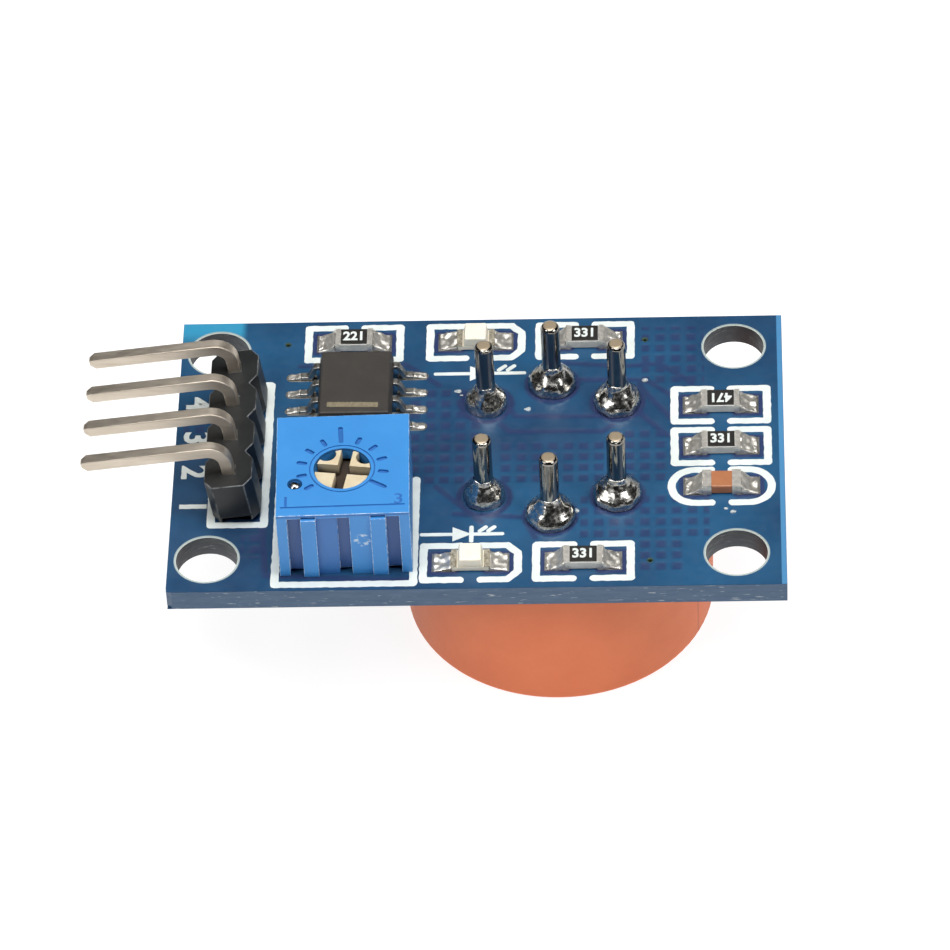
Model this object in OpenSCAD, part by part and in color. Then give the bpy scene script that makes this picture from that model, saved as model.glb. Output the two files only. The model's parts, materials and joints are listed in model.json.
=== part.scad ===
// Gas sensor breakout board, lying component side up with its sensor hanging below.
// The origin is the middle of the four mounting holes, on the underside of the board.
// +X runs along the board away from the header, +Y across it, +Z out of the component side.

/* [Board] */
// Length of the board along X
board_l = 32; // [31.8:0.1:36]
// Width of the board along Y
board_w = 20; // [19.6:0.1:24]
// Thickness of the laminate
board_t = 1.2; // [0.8:0.1:2]
// Legs of the worn cut across the front left corner
corner_chip = 0.3; // [0.1:0.05:0.6]
// Thickness of the tinned copper on either face
copper_t = 0.03; // [0.02:0.01:0.06]
// Thickness of the white printed ink
ink_t = 0.03; // [0.02:0.01:0.06]
// Width of a printed line
ink_w = 0.42; // [0.3:0.02:0.44]

/* [Mounting holes] */
// Diameter of a mounting hole
hole_d = 3.2; // [2.6:0.1:3.4]
// From the header end of the board to the nearest hole centres
hole_edge = 2.03; // [1.9:0.01:2.5]
// From the far end of the board to the nearest hole centres
hole_edge_far = 2.57; // [1.9:0.01:2.8]
// From the long sides of the board to the hole centres
hole_edge_side = 2.35; // [2:0.01:2.6]

/* [Plated holes] */
// Thickness of the plating in a hole
plating_t = 0.03; // [0.02:0.01:0.05]
// Width of the copper ring round a hole
ring_w = 0.35; // [0.2:0.05:0.4]
// Drilled diameter of a small via
via_d = 0.35; // [0.25:0.05:0.5]
// Radial room between a pin and its plated hole
pin_room = 0.08; // [0.05:0.01:0.12]

/* [Header] */
// From the header end of the board to the middle of the foot of the header
header_edge = 3.5; // [3.2:0.05:3.8]
// Distance between neighbouring pins
pin_pitch = 2.54; // [2.3:0.01:2.6]
// Side of a square pin
pin_side = 0.64; // [0.5:0.02:0.7]
// Width of the plastic strip
strip_w = 2.54; // [2.2:0.02:2.6]
// Height of the plastic strip
strip_h = 2.54; // [2:0.02:2.8]
// Cut corner of a block, along X
block_cut_x = 0.42; // [0.2:0.02:0.6]
// Cut corner of a block, along Y
block_cut_y = 0.55; // [0.3:0.05:0.7]
// Width of the relief under the strip
relief_w = 1.5; // [1:0.1:1.8]
// Height of the relief under the strip
relief_h = 0.25; // [0.1:0.05:0.4]
// Lean of the whole header towards the pin tips, in degrees
header_lean = 7.5; // [0:0.5:9]
// Height of a pin's upper face over the foot of the strip
arm_top = 4.45; // [4.4:0.05:6]
// Radius at the middle of the bend
bend_r = 0.9; // [0.6:0.05:1]
// From the outer side of the bend to the tip
arm_l = 7.8; // [6:0.1:12]
// Length of the taper at a pin's ends
pin_taper = 0.32; // [0.2:0.02:0.5]
// How much each side draws in along the taper
pin_draw = 0.15; // [0.05:0.01:0.2]
// How far a pin reaches below the board
header_tail = 1.6; // [1.3:0.1:2.5]
// Total play of a pin in the strip
strip_play = 0.02; // [0.01:0.01:0.06]

/* [Trimmer] */
// From the header end of the board to the left side of the trimmer's foot
trimmer_edge = 5.93; // [5.6:0.01:6.2]
// From the front side of the board to the front of the trimmer's foot
trimmer_edge_front = 1.2; // [1.1:0.01:1.8]
// Width of the trimmer along X
trimmer_w = 6.95; // [6.6:0.05:7.2]
// Depth of the trimmer along Y
trimmer_d = 7.08; // [6.8:0.02:7.4]
// Height of the trimmer
trimmer_h = 4.6; // [4.4:0.05:5.2]
// Lean of the trimmer towards the header, in degrees
trimmer_lean = 2.6; // [0:0.2:3.6]
// Thickness of the lip over the front ribs
lip_t = 0.6; // [0.4:0.05:0.8]
// Bevel along the front edge of the lip
lip_bevel = 0.22; // [0.1:0.02:0.3]
// Clear height under the body between its feet
foot_h = 0.45; // [0.3:0.05:0.6]
// Half width of the middle groove in the front
mid_groove = 0.36; // [0.2:0.02:0.5]
// Width of the set back panel on each side of it
panel_w = 1.2; // [0.9:0.05:1.3]
// How far a panel is set back
panel_back = 0.38; // [0.2:0.02:0.5]
// Width of a front rib
rib_w = 0.7; // [0.5:0.05:0.8]
// Gap between a rib and the lip
rib_gap = 0.28; // [0.1:0.02:0.4]
// Width of the groove beside the outer wall
side_groove = 0.62; // [0.5:0.02:0.68]
// Depth of the grooves in the front
groove_back = 0.85; // [0.6:0.05:0.95]
// Thickness of the side walls round the element
trimmer_wall = 0.5; // [0.4:0.05:0.6]
// Front wall behind the grooves
front_wall = 0.35; // [0.25:0.05:0.4]
// Length of the feet along Y, from the front and from the back
foot_l = 1; // [0.8:0.05:1.15]

/* [Trimmer dial] */
// Rotor axis from the front of the trimmer
rotor_y = 3.27; // [3.2:0.01:3.6]
// Diameter of the rotor neck
neck_d = 2.87; // [2.6:0.01:2.95]
// Radial running clearance of the neck
neck_play = 0.04; // [0.02:0.01:0.09]
// Diameter of the rotor flange
flange_d = 3.9; // [3.6:0.05:3.95]
// Radial room round the flange
flange_play = 0.1; // [0.05:0.05:0.15]
// How far the rotor face lies below the top
rotor_sunk = 0.5; // [0.3:0.05:0.6]
// Width of the cross slot
slot_w = 0.62; // [0.4:0.02:0.8]
// Depth of the cross slot
slot_depth = 0.8; // [0.5:0.05:0.85]
// Turn of the cross slot at rest, in degrees
slot_turn = -4; // [-20:1:20]
// Radius of the bites between the arms
bite_r = 0.42; // [0.2:0.02:0.46]
// Thickness of the top wall round the neck
cover_t = 1.3; // [1.2:0.05:1.45]
// Number of dial marks
mark_count = 11; // [3:2:15]
// Angle between neighbouring dial marks, in degrees
mark_step = 25; // [15:1:25]
// Angle of the middle mark, in degrees
mark_mid = 91.5; // [85:0.5:95]
// Width of a dial mark
mark_w = 0.2; // [0.1:0.02:0.3]
// Depth of the dial marks
mark_depth = 0.12; // [0.05:0.01:0.2]
// Inner end of the marks from the rotor axis
mark_in = 1.9; // [1.8:0.05:2]
// Outer end of the short marks
mark_out = 2.5; // [2.3:0.05:2.6]
// Outer end of the middle mark
mark_long = 3.1; // [2.8:0.05:3.4]
// Outer end of the last mark on the right
mark_last = 2.8; // [2.6:0.05:2.85]
// Radius of the fine ring round the bore
dial_ring_r = 1.76; // [1.66:0.02:1.78]
// Width of that ring
dial_ring_w = 0.1; // [0.05:0.01:0.14]

/* [Trimmer inside] */
// Underside of the ceramic element over the foot
element_z = 0.9; // [0.8:0.05:1]
// Thickness of the ceramic element
element_t = 0.6; // [0.4:0.05:0.65]
// Room round the element in its pocket
element_play = 0.03; // [0.01:0.01:0.06]
// Thickness of the sealing resin under the element
seal_t = 0.4; // [0.2:0.05:0.42]
// Thickness of the rotor flange
flange_t = 0.8; // [0.5:0.05:0.85]
// Section of the o-ring
o_ring_d = 0.44; // [0.3:0.02:0.46]
// Thickness of the wiper spring
wiper_t = 0.12; // [0.08:0.01:0.16]
// Running gap of sliding faces
slide_gap = 0.02; // [0.01:0.01:0.04]
// Diameter of the ring of the wiper
wiper_ring_d = 2.8; // [2.4:0.1:3.4]
// Diameter of the hole in that ring
wiper_hole_d = 1.12; // [0.8:0.02:1.3]
// Length of a wiper arm
wiper_arm_l = 1.2; // [0.9:0.05:1.25]
// Width of a wiper arm
wiper_arm_w = 0.4; // [0.2:0.05:0.6]
// Diameter of a terminal
terminal_d = 0.5; // [0.4:0.02:0.56]
// Terminals 1 and 3 from the front
terminal_y = 1.84; // [1.6:0.02:1.95]
// Half the distance between terminals 1 and 3
terminal_pitch = 2.54; // [2.4:0.02:2.6]
// Diameter of the sight hole over terminal 1
sight_d = 0.78; // [0.66:0.02:0.86]
// Depth of terminal 1 below the top
sight_sunk = 0.45; // [0.2:0.05:0.8]
// How far the terminals reach below the board
trimmer_tail = 1.3; // [1.25:0.05:2]

/* [Comparator] */
// Middle of the comparator from the middle of the board
chip_at = [-6.55, 3.8]; // [-8:0.01:4]
// Widest width of its body along X
chip_w = 3.9; // [3.6:0.05:4]
// Widest length of its body along Y
chip_l = 4.9; // [4.8:0.05:5.1]
// Thickness of its body
chip_t = 1.42; // [1.2:0.02:1.6]
// Gap under its body
chip_gap = 0.1; // [0.05:0.01:0.2]
// Draft of its sides, at the top and at the bottom
chip_draft = 0.14; // [0.05:0.01:0.2]
// Lead pitch
lead_pitch = 1.27; // [1.2:0.01:1.3]
// Width of a lead
lead_w = 0.42; // [0.3:0.02:0.5]
// Thickness of a lead
lead_t = 0.2; // [0.15:0.01:0.25]
// Distance across the lead tips
lead_span = 6; // [5.8:0.05:6.2]
// Length of a lead's foot
lead_foot = 0.5; // [0.4:0.02:0.55]
// From the body to the knee of a lead
lead_shoulder = 0.22; // [0.15:0.01:0.3]
// Height of the bevels that stand for a lead's bends
lead_bend = 0.06; // [0.04:0.01:0.08]
// Width of a comparator pad
chip_pad_w = 0.6; // [0.5:0.02:0.7]
// How far a pad reaches out past the lead tips
chip_pad_out = 0.78; // [0.65:0.01:0.9]
// Length of a comparator pad
chip_pad_l = 1.65; // [1.5:0.05:1.8]

/* [Chip resistors] */
// From the back side of the board to the middle of the back row of chips
row_back = 1.75; // [1.65:0.01:1.9]
// From the front side of the board to the middle of the front row of chips
row_front = 1.85; // [1.65:0.01:1.9]
// Resistor 1 in the back row, from the middle of the board
resistor_1_x = -6.79; // [-8:0.01:-6]
// Resistors 2 and 3 in the back and the front row, from the middle of the board
resistor_2_x = 5.52; // [5:0.01:5.7]
// From the far end of the board to the column of chips
column_edge = 3.3; // [2.9:0.01:3.4]
// Resistor 4 in that column, from the middle of the board
resistor_4_y = 3.2; // [3.15:0.01:3.5]
// Resistor 5 in that column, from the middle of the board
resistor_5_y = 0.11; // [0:0.01:0.2]
// Length of a chip
part_l = 2; // [1.9:0.02:2.1]
// Width of a chip
part_w = 1.25; // [1.15:0.01:1.3]
// Height of a resistor
resistor_h = 0.55; // [0.45:0.01:0.65]
// Length of an end cap along the chip
cap_l = 0.28; // [0.2:0.01:0.4]
// Thickness of an end cap
cap_t = 0.03; // [0.02:0.01:0.05]
// Width of the black overcoat
coat_w = 1; // [0.9:0.01:1.15]
// Thickness of the overcoat
coat_t = 0.04; // [0.02:0.01:0.06]
// Gap between the overcoat and an end cap
coat_play = 0.02; // [0.01:0.01:0.06]
// Width of a solder pad under a chip
pad_w = 1.3; // [1.2:0.02:1.36]
// How far a pad reaches past the end of the chip
pad_out = 1; // [0.8:0.02:1.05]
// How far a pad reaches under the chip
pad_in = 0.22; // [0.15:0.01:0.4]

/* [Chip capacitor] */
// The capacitor in the column of chips, from the middle of the board
capacitor_y = -2.84; // [-3:0.01:-2.8]
// Height of the capacitor
capacitor_h = 0.6; // [0.5:0.02:0.8]
// Length of its end caps
capacitor_cap_l = 0.46; // [0.35:0.01:0.55]

/* [Indicator lamps] */
// The lamps in the back and the front row, from the middle of the board
led_x = -0.3; // [-0.5:0.01:-0.1]
// Thickness of a lamp's base
led_base_t = 0.3; // [0.2:0.01:0.4]
// Length of its lens
lens_l = 1.32; // [1.1:0.02:1.36]
// Height of its lens over the base
lens_h = 0.55; // [0.4:0.01:0.7]
// Draw of the lens ends towards the top
lens_draw = 0.1; // [0.02:0.01:0.2]
// Length of its terminals
led_terminal_l = 0.3; // [0.2:0.01:0.32]
// Thickness of its terminals
led_terminal_t = 0.05; // [0.02:0.01:0.08]

/* [Sensor] */
// Sensor axis from the middle of the board
sensor_at = [3.8, 0.06]; // [0:0.01:4.5]
// Outer diameter of the housing
housing_d = 16.35; // [15.6:0.05:17.4]
// Axis of the housing from the axis of the pins, along X
housing_shift = 0.2; // [-0.3:0.05:0.3]
// From the underside of the board to the flat face
housing_h = 9.3; // [8:0.1:10.5]
// Wall of the housing
housing_wall = 1.2; // [0.9:0.05:1.4]
// Thickness of the face round the window
face_t = 1.4; // [1:0.05:1.6]
// Diameter of the window
window_d = 10.6; // [9:0.1:11]
// Bevel at the mouth of the window
window_bevel = 0.5; // [0.2:0.05:0.7]
// Rounding of the outer edge of the face
face_round = 0.35; // [0.2:0.05:0.6]
// Thickness of the base that carries the pins
base_t = 3; // [2:0.1:3.4]
// Room between base and housing
base_play = 0.02; // [0.01:0.01:0.06]
// Diameter of the circle of pins
sensor_pcd = 9.8; // [9.4:0.1:10]
// Diameter of a sensor pin
sensor_pin_d = 1; // [0.8:0.02:1.1]
// Height of the pins over the board
sensor_pin_up = 4.35; // [2.5:0.05:6]
// Chamfer at the cut end of a pin
sensor_pin_chamfer = 0.15; // [0.05:0.01:0.2]
// How far the pins reach out of the base towards the window
sensor_pin_in = 1.2; // [0.8:0.05:1.6]

/* [Sensor window] */
// Thickness of the mesh disc
mesh_t = 0.3; // [0.2:0.02:0.4]
// How far the mesh reaches past the window
mesh_lap = 1; // [0.6:0.05:1.2]
// Pitch of the openings in the mesh
mesh_pitch = 1.05; // [0.95:0.05:1.4]
// Width of the bars of the mesh
mesh_bar = 0.35; // [0.2:0.05:0.5]
// Height of the ring that holds the mesh
clamp_h = 0.8; // [0.5:0.05:1]

/* [Sensor inside] */
// Diameter of the sensing tube
tube_d = 1.2; // [1:0.05:1.4]
// Length of the sensing tube
tube_l = 4; // [3.4:0.1:4.6]
// Wall of the sensing tube
tube_wall = 0.25; // [0.2:0.01:0.3]
// Drop of the tube below the pin ends
tube_drop = 0.7; // [0.6:0.05:0.9]
// Thickness of the gold bands on the tube
band_t = 0.03; // [0.02:0.01:0.04]
// Width of the gold bands
band_w = 0.5; // [0.3:0.05:0.7]
// Diameter of the lead wires
wire_d = 0.12; // [0.08:0.01:0.16]
// Turns of the heater coil
coil_turns = 9; // [5:1:11]
// From the end of the tube to the coil
coil_inset = 0.2; // [0.1:0.05:0.4]

/* [Printed outlines] */
// Length of the outline round a chip
outline_l = 4.88; // [4.8:0.02:4.96]
// Width of the outline round a chip
outline_w = 2.45; // [2.4:0.01:2.5]
// Gap between the two halves of an outline
outline_gap = 0.65; // [0.5:0.01:1]
// Corner cuts at the marked end of a lamp's outline
outline_cut = 0.55; // [0.3:0.05:0.6]
// Length of the round-ended outline
round_outline_l = 5.22; // [5.1:0.02:5.3]
// Width of the round-ended outline
round_outline_w = 2.42; // [2.3:0.02:2.5]
// From the foot of the header to its outline
outline_room = 0.12; // [0.08:0.01:0.2]
// From the foot of the trimmer to its outline at the side
trimmer_outline_side = 0.32; // [0.2:0.02:0.4]
// From the foot of the trimmer to its outline at the front
trimmer_outline_front = 0.77; // [0.4:0.01:0.77]

/* [Solder] */
// Foot radius of the solder cones round the sensor pins
cone_r = 1.1; // [0.95:0.01:1.2]
// Height of those cones
cone_h = 1.5; // [1:0.05:2]
// Foot radius of the cones under the header and the trimmer
tail_cone_r = 0.85; // [0.7:0.01:0.95]
// Height of the cones under the header and the trimmer
tail_cone_h = 1; // [0.7:0.05:1.15]
// Solder left round a pin at the tip of a cone
cone_collar = 0.05; // [0.02:0.01:0.08]
// Thickness of the solder at the edge of a pad
solder_edge_t = 0.05; // [0.02:0.01:0.1]
// Bare stretch at the outer end of a pad
pad_bare = 0.08; // [0.04:0.01:0.15]

/* [Hidden] */
$fn = 48;
eps = 0.01;
through = 20;

hole_spacing_x = board_l - hole_edge - hole_edge_far;
hole_spacing_y = board_w - 2 * hole_edge_side;
board_left = -hole_spacing_x / 2 - hole_edge;
board_mid = board_left + board_l / 2;
header_x = -board_l / 2 + header_edge;
trimmer_at = [-board_l / 2 + trimmer_edge, -board_w / 2 + trimmer_edge_front];
back_y = board_w / 2 - row_back;
front_y = -board_w / 2 + row_front;
hole_xs = [-hole_spacing_x / 2, hole_spacing_x / 2];
hole_ys = [-hole_spacing_y / 2, hole_spacing_y / 2];
via_at = [[-board_l / 2 + 5.67, back_y], [8.71, back_y], [8.96, front_y]];

pin_count = 4;
pin_ys = [for (i = [0:pin_count - 1]) (i - (pin_count - 1) / 2) * pin_pitch];
seat_t = max(copper_t, ink_t);
pin_reach = (board_t + header_tail + seat_t) / cos(header_lean)
    + strip_w / 2 * tan(header_lean);
header_hole_d = 2 * pin_room
    + norm([pin_side / cos(header_lean) + board_t * tan(header_lean), pin_side]);
header_hole_x = header_axis_x(-board_t / 2);

rotor_x = trimmer_w / 2;
flange_room_d = flange_d + 2 * flange_play;
neck_room_d = neck_d + 2 * neck_play;
element_top = element_z + element_t;
cover_z = trimmer_h - cover_t;
flange_z = cover_z - o_ring_d - 2 * slide_gap - flange_t;
terminal_xs = [rotor_x - terminal_pitch, rotor_x, rotor_x + terminal_pitch];
terminal_ys = [terminal_y, terminal_y + terminal_pitch, terminal_y];
terminal_down = (board_t + trimmer_tail) / cos(trimmer_lean);
terminal_room = 0.02;
trimmer_hole_d = terminal_d / cos(trimmer_lean) + board_t * tan(trimmer_lean) + 2 * pin_room;

lead_rows = 4;
lead_ys = [for (i = [0:lead_rows - 1]) (i - (lead_rows - 1) / 2) * lead_pitch];
chip_pad_x = lead_span / 2 + chip_pad_out - chip_pad_l / 2;

coat_l = part_l - 2 * cap_l - 2 * coat_play;
column_x = board_l / 2 - column_edge;
resistor_at = [[resistor_1_x, back_y], [resistor_2_x, back_y], [resistor_2_x, front_y],
    [column_x, resistor_4_y], [column_x, resistor_5_y]];
capacitor_at = [column_x, capacitor_y];
led_at = [[led_x, back_y], [led_x, front_y]];
two_pad_at = concat(resistor_at, [capacitor_at], led_at);
climb = [for (i = [0:len(two_pad_at) - 1])
    (i < 5 ? resistor_h : i == 5 ? capacitor_h : led_base_t) - solder_edge_t];

pin_angles = [45, 90, 135, 225, 270, 315];
cone_grow = [1.02, 1.02, 0.92, 0.95, 1, 1.09];
housing_top = -copper_t;
face_z = -housing_h;
bore_d = housing_d - 2 * housing_wall;
mesh_z = face_z + face_t;
pin_in_z = housing_top - base_t - sensor_pin_in;
tube_z = pin_in_z - tube_drop;
sensor_hole_d = sensor_pin_d + 2 * pin_room;
cone_steps = 8;
run_steps = 5;
coil_sides = 10;

board_grey = [0.13, 0.33, 0.52];
tin = [0.72, 0.72, 0.7];
solder_grey = [0.62, 0.63, 0.64];
ink_white = [0.93, 0.94, 0.92];
trimmer_blue = [0.22, 0.56, 0.86];
sensor_orange = [0.88, 0.48, 0.35];
near_black = [0.12, 0.12, 0.12];

// Places a piece that is drawn from the middle of the board, on its component side.
module on_board() {
    translate([board_mid, 0, board_t]) children();
}

// Stands a piece in the leaning frame of the header, origin at the left edge of its foot.
module in_header() {
    on_board() translate([header_x - strip_w / 2, 0, seat_t])
        rotate([0, -header_lean, 0]) children();
}

// Stands a piece in the leaning frame of the trimmer, origin at its left front foot.
module in_trimmer() {
    on_board() translate([trimmer_at.x, trimmer_at.y, seat_t])
        rotate([0, -trimmer_lean, 0]) children();
}

// Places a piece on the axis of the sensor, height 0 at the underside of the board.
module in_sensor() {
    translate([board_mid + sensor_at.x, sensor_at.y, 0]) children();
}

// Places a piece on the axis of the housing, a little beside the axis of the pins.
module in_housing() {
    in_sensor() translate([housing_shift, 0, 0]) children();
}

// A round hole from z0 to z1, standing at a point.
module bore(at, d, z0 = -through, z1 = through) {
    translate([at.x, at.y, z0]) cylinder(d = d, h = z1 - z0);
}

// Where the row of header pins crosses height z over the board, from the board's middle.
function header_axis_x(z) = header_x - strip_w / 2 + strip_w / 2 / cos(header_lean)
    + (seat_t - z) * tan(header_lean);

// Where a trimmer terminal crosses height z over the board, from the board's middle.
function terminal_place(i, z) = [
    trimmer_at.x + terminal_xs[i] / cos(trimmer_lean) + (seat_t - z) * tan(trimmer_lean),
    trimmer_at.y + terminal_ys[i]];

function pin_at(i) = sensor_pcd / 2 * [cos(pin_angles[i]), sin(pin_angles[i])];

module circuit_board() {
    color(board_grey) difference() {
        translate([board_left, -board_w / 2, 0]) linear_extrude(board_t)
            polygon([[corner_chip, 0], [board_l, 0], [board_l, board_w], [0, board_w],
                [0, corner_chip]]);
        for (x = hole_xs, y = hole_ys) bore([x, y], hole_d);
        on_board() {
            for (p = via_at) bore(p, via_d + 2 * plating_t);
            for (y = pin_ys) bore([header_hole_x, y], header_hole_d + 2 * plating_t);
            for (i = [0:2]) bore(terminal_place(i, -board_t / 2), trimmer_hole_d + 2 * plating_t);
        }
        in_sensor() for (i = [0:5]) bore(pin_at(i), sensor_hole_d + 2 * plating_t);
    }
}

// A plated hole: a thin tube through the board with a flat ring on each face.
module plated_hole(at, d) {
    translate([at.x, at.y, 0]) rotate_extrude() polygon([
        [d / 2, -copper_t], [d / 2 + ring_w, -copper_t], [d / 2 + ring_w, 0],
        [d / 2 + plating_t, 0], [d / 2 + plating_t, board_t], [d / 2 + ring_w, board_t],
        [d / 2 + ring_w, board_t + copper_t], [d / 2, board_t + copper_t]]);
}

module plated_holes() {
    color(tin) {
        translate([board_mid, 0, 0]) {
            for (y = pin_ys) plated_hole([header_hole_x, y], header_hole_d);
            for (i = [0:2]) plated_hole(terminal_place(i, -board_t / 2), trimmer_hole_d);
        }
        in_sensor() for (i = [0:5]) plated_hole(pin_at(i), sensor_hole_d);
    }
}

module vias() {
    color(tin) translate([board_mid, 0, 0]) for (p = via_at) plated_hole(p, via_d);
}

// The pads of a chip with two ends lie under its ends and reach out past them.
module two_pads(at) {
    for (side = [-1, 1]) translate([at.x + side * (part_l / 2 - pad_in), at.y - pad_w / 2, 0])
        mirror([side < 0 ? 1 : 0, 0, 0]) cube([pad_in + pad_out, pad_w, copper_t]);
}

module solder_pads() {
    color(tin) on_board() {
        for (p = two_pad_at) two_pads(p);
        for (side = [-1, 1], y = lead_ys)
            translate([chip_at.x + side * chip_pad_x, chip_at.y + y, 0])
                linear_extrude(copper_t) round_bar(chip_pad_l - chip_pad_w, chip_pad_w);
    }
}

// A flat bar with round ends, centred, its straight stretch l long.
module round_bar(l, w) {
    square([l, w], center = true);
    for (side = [-1, 1]) translate([side * l / 2, 0]) circle(d = w);
}

// A printed line through the points, round at every point.
module ink_line(points, closed = false) {
    last = len(points) - 1;
    for (i = [0:last]) translate(points[i]) circle(d = ink_w, $fn = 24);
    for (i = [0:closed ? last : last - 1]) {
        p = points[i];
        q = points[i == last ? 0 : i + 1];
        translate(p) rotate(atan2(q.y - p.y, q.x - p.x))
            translate([0, -ink_w / 2]) square([norm(q - p), ink_w]);
    }
}

// Half of the outline round a chip, about its middle: cut is the leg of its corner cuts.
module half_outline(cut) {
    x = outline_l / 2;
    y = outline_w / 2;
    start = (outline_gap + ink_w) / 2;
    end = cut > 0 ? [[x - cut, -y], [x, -y + cut], [x, y - cut], [x - cut, y]]
        : [[x, -y], [x, y]];
    ink_line(concat([[start, -y]], end, [[start, y]]));
}

// Outline in two halves with a gap between them; right_cut bevels the right corners.
module chip_outline(at, right_cut = 0) {
    translate(at) {
        half_outline(right_cut);
        rotate(180) half_outline(0);
    }
}

// Outline with round ends, for the capacitor.
module round_outline(at) {
    r = round_outline_w / 2;
    arc_x = round_outline_l / 2 - r;
    translate(at) for (turn = [0, 180]) rotate(turn) {
        for (side = [-1, 1])
            ink_line([[(outline_gap + ink_w) / 2, side * r], [arc_x, side * r]]);
        translate([arc_x, 0]) intersection() {
            difference() {
                circle(r = r + ink_w / 2);
                circle(r = r - ink_w / 2);
            }
            translate([0, -2 * r]) square(4 * r);
        }
    }
}

module silkscreen() {
    header_side = strip_w / 2 + outline_room;
    header_end = pin_count * pin_pitch / 2 + outline_room;
    trimmer_left = trimmer_at.x - trimmer_outline_side;
    trimmer_right = trimmer_at.x + trimmer_w - outline_room;
    trimmer_front = trimmer_at.y - trimmer_outline_front;
    trimmer_back = trimmer_at.y + trimmer_d - trimmer_outline_side;
    color(ink_white) on_board() linear_extrude(ink_t) {
        ink_line([[header_x - header_side, -header_end], [header_x + header_side, -header_end],
            [header_x + header_side, header_end], [header_x - header_side, header_end]], true);
        ink_line([[trimmer_left, trimmer_back], [trimmer_left, trimmer_front],
            [trimmer_right, trimmer_front], [trimmer_right, trimmer_back]]);
        for (p = resistor_at) chip_outline(p);
        for (p = led_at) chip_outline(p, outline_cut);
        round_outline(capacitor_at);
    }
}

// A row of blocks with cut corners, bored for the square pins, relieved below.
module header_strip() {
    half = pin_pitch / 2;
    hole = pin_side + strip_play;
    color(near_black) in_header() difference() {
        for (y = pin_ys) translate([0, y, 0]) linear_extrude(strip_h)
            polygon([[block_cut_x, -half], [strip_w - block_cut_x, -half],
                [strip_w, -half + block_cut_y], [strip_w, half - block_cut_y],
                [strip_w - block_cut_x, half], [block_cut_x, half],
                [0, half - block_cut_y], [0, -half + block_cut_y]]);
        for (y = pin_ys) translate([strip_w / 2 - hole / 2, y - hole / 2, -eps])
            cube([hole, hole, strip_h + 1]);
        translate([(strip_w - relief_w) / 2, -pin_count * half - eps, -eps])
            cube([relief_w, pin_count * pin_pitch + 2 * eps, relief_h + eps]);
    }
}

// A square bar along +X from the origin, drawn in over its last stretch.
module tapered_bar(l) {
    half = pin_side / 2;
    side = [[0, -half], [l - pin_taper, -half], [l, -half + pin_draw],
        [l, half - pin_draw], [l - pin_taper, half], [0, half]];
    intersection() {
        linear_extrude(pin_side, center = true) polygon(side);
        rotate([90, 0, 0]) linear_extrude(pin_side, center = true) polygon(side);
    }
}

// A square pin: up through the board and the strip, round the bend and out to the left.
module header_pin(i) {
    half = pin_side / 2;
    bend_z = arm_top - half - bend_r;
    arm = arm_l - half - bend_r;
    color(tin) in_header() translate([strip_w / 2, pin_ys[pin_count - 1 - i], 0]) {
        translate([0, 0, bend_z]) rotate([0, 90, 0]) tapered_bar(bend_z + pin_reach);
        translate([-bend_r, 0, bend_z]) rotate([90, 0, 0]) rotate_extrude(angle = 90)
            translate([bend_r - half, -half]) square(pin_side);
        translate([-bend_r, 0, bend_z + bend_r]) rotate([0, 0, 180]) tapered_bar(arm);
    }
}

// Solder drawn up a pin, its side a falling curve from radius r to tip_r.
module solder_cone(r, h, tip_r) {
    rotate_extrude() polygon(concat([[0, 0]],
        [for (i = [0:cone_steps]) let (t = i / cone_steps)
            [tip_r + (r - tip_r) * pow(1 - t, 1.8), h * t]], [[0, h]]));
}

module header_solder() {
    color(solder_grey) difference() {
        translate([board_mid + header_axis_x(-board_t), 0, -copper_t])
            for (y = pin_ys) translate([0, y, 0]) mirror([0, 0, 1])
                solder_cone(tail_cone_r, tail_cone_h,
                    pin_side / sqrt(2) + tail_cone_h * tan(header_lean) + cone_collar);
        in_header() for (y = pin_ys)
            translate([(strip_w - pin_side) / 2, y - pin_side / 2, -through / 2])
                cube([pin_side, pin_side, through / 2]);
    }
}

// One half of the ribbed front, from the middle outwards; a cut is [from, to, depth].
module front_cuts() {
    groove_top = trimmer_h - lip_t;
    panel_x = mid_groove + panel_w;
    rib_x = panel_x + rib_w;
    for (cut = [[-eps, mid_groove, groove_back], [mid_groove - eps, panel_x, panel_back],
            [rib_x, rib_x + side_groove, groove_back]])
        translate([cut[0], -eps, -eps]) cube([cut[1] - cut[0], cut[2] + eps, groove_top + eps]);
    translate([panel_x - eps, -eps, groove_top - rib_gap])
        cube([rib_w + 2 * eps, groove_back + eps, rib_gap]);
    for (cut = [[-eps, panel_x], [rib_x, rib_x + side_groove]])
        translate([cut[0], -eps, -eps])
            cube([cut[1] - cut[0], foot_l + 2 * eps, foot_h + eps]);
}

// A dial mark, a shallow round-ended groove from r0 to r1 at an angle.
module dial_mark(angle, r0, r1) {
    rotate(angle) translate([(r0 + r1) / 2, 0]) round_bar(r1 - r0 - mark_w, mark_w);
}

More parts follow.
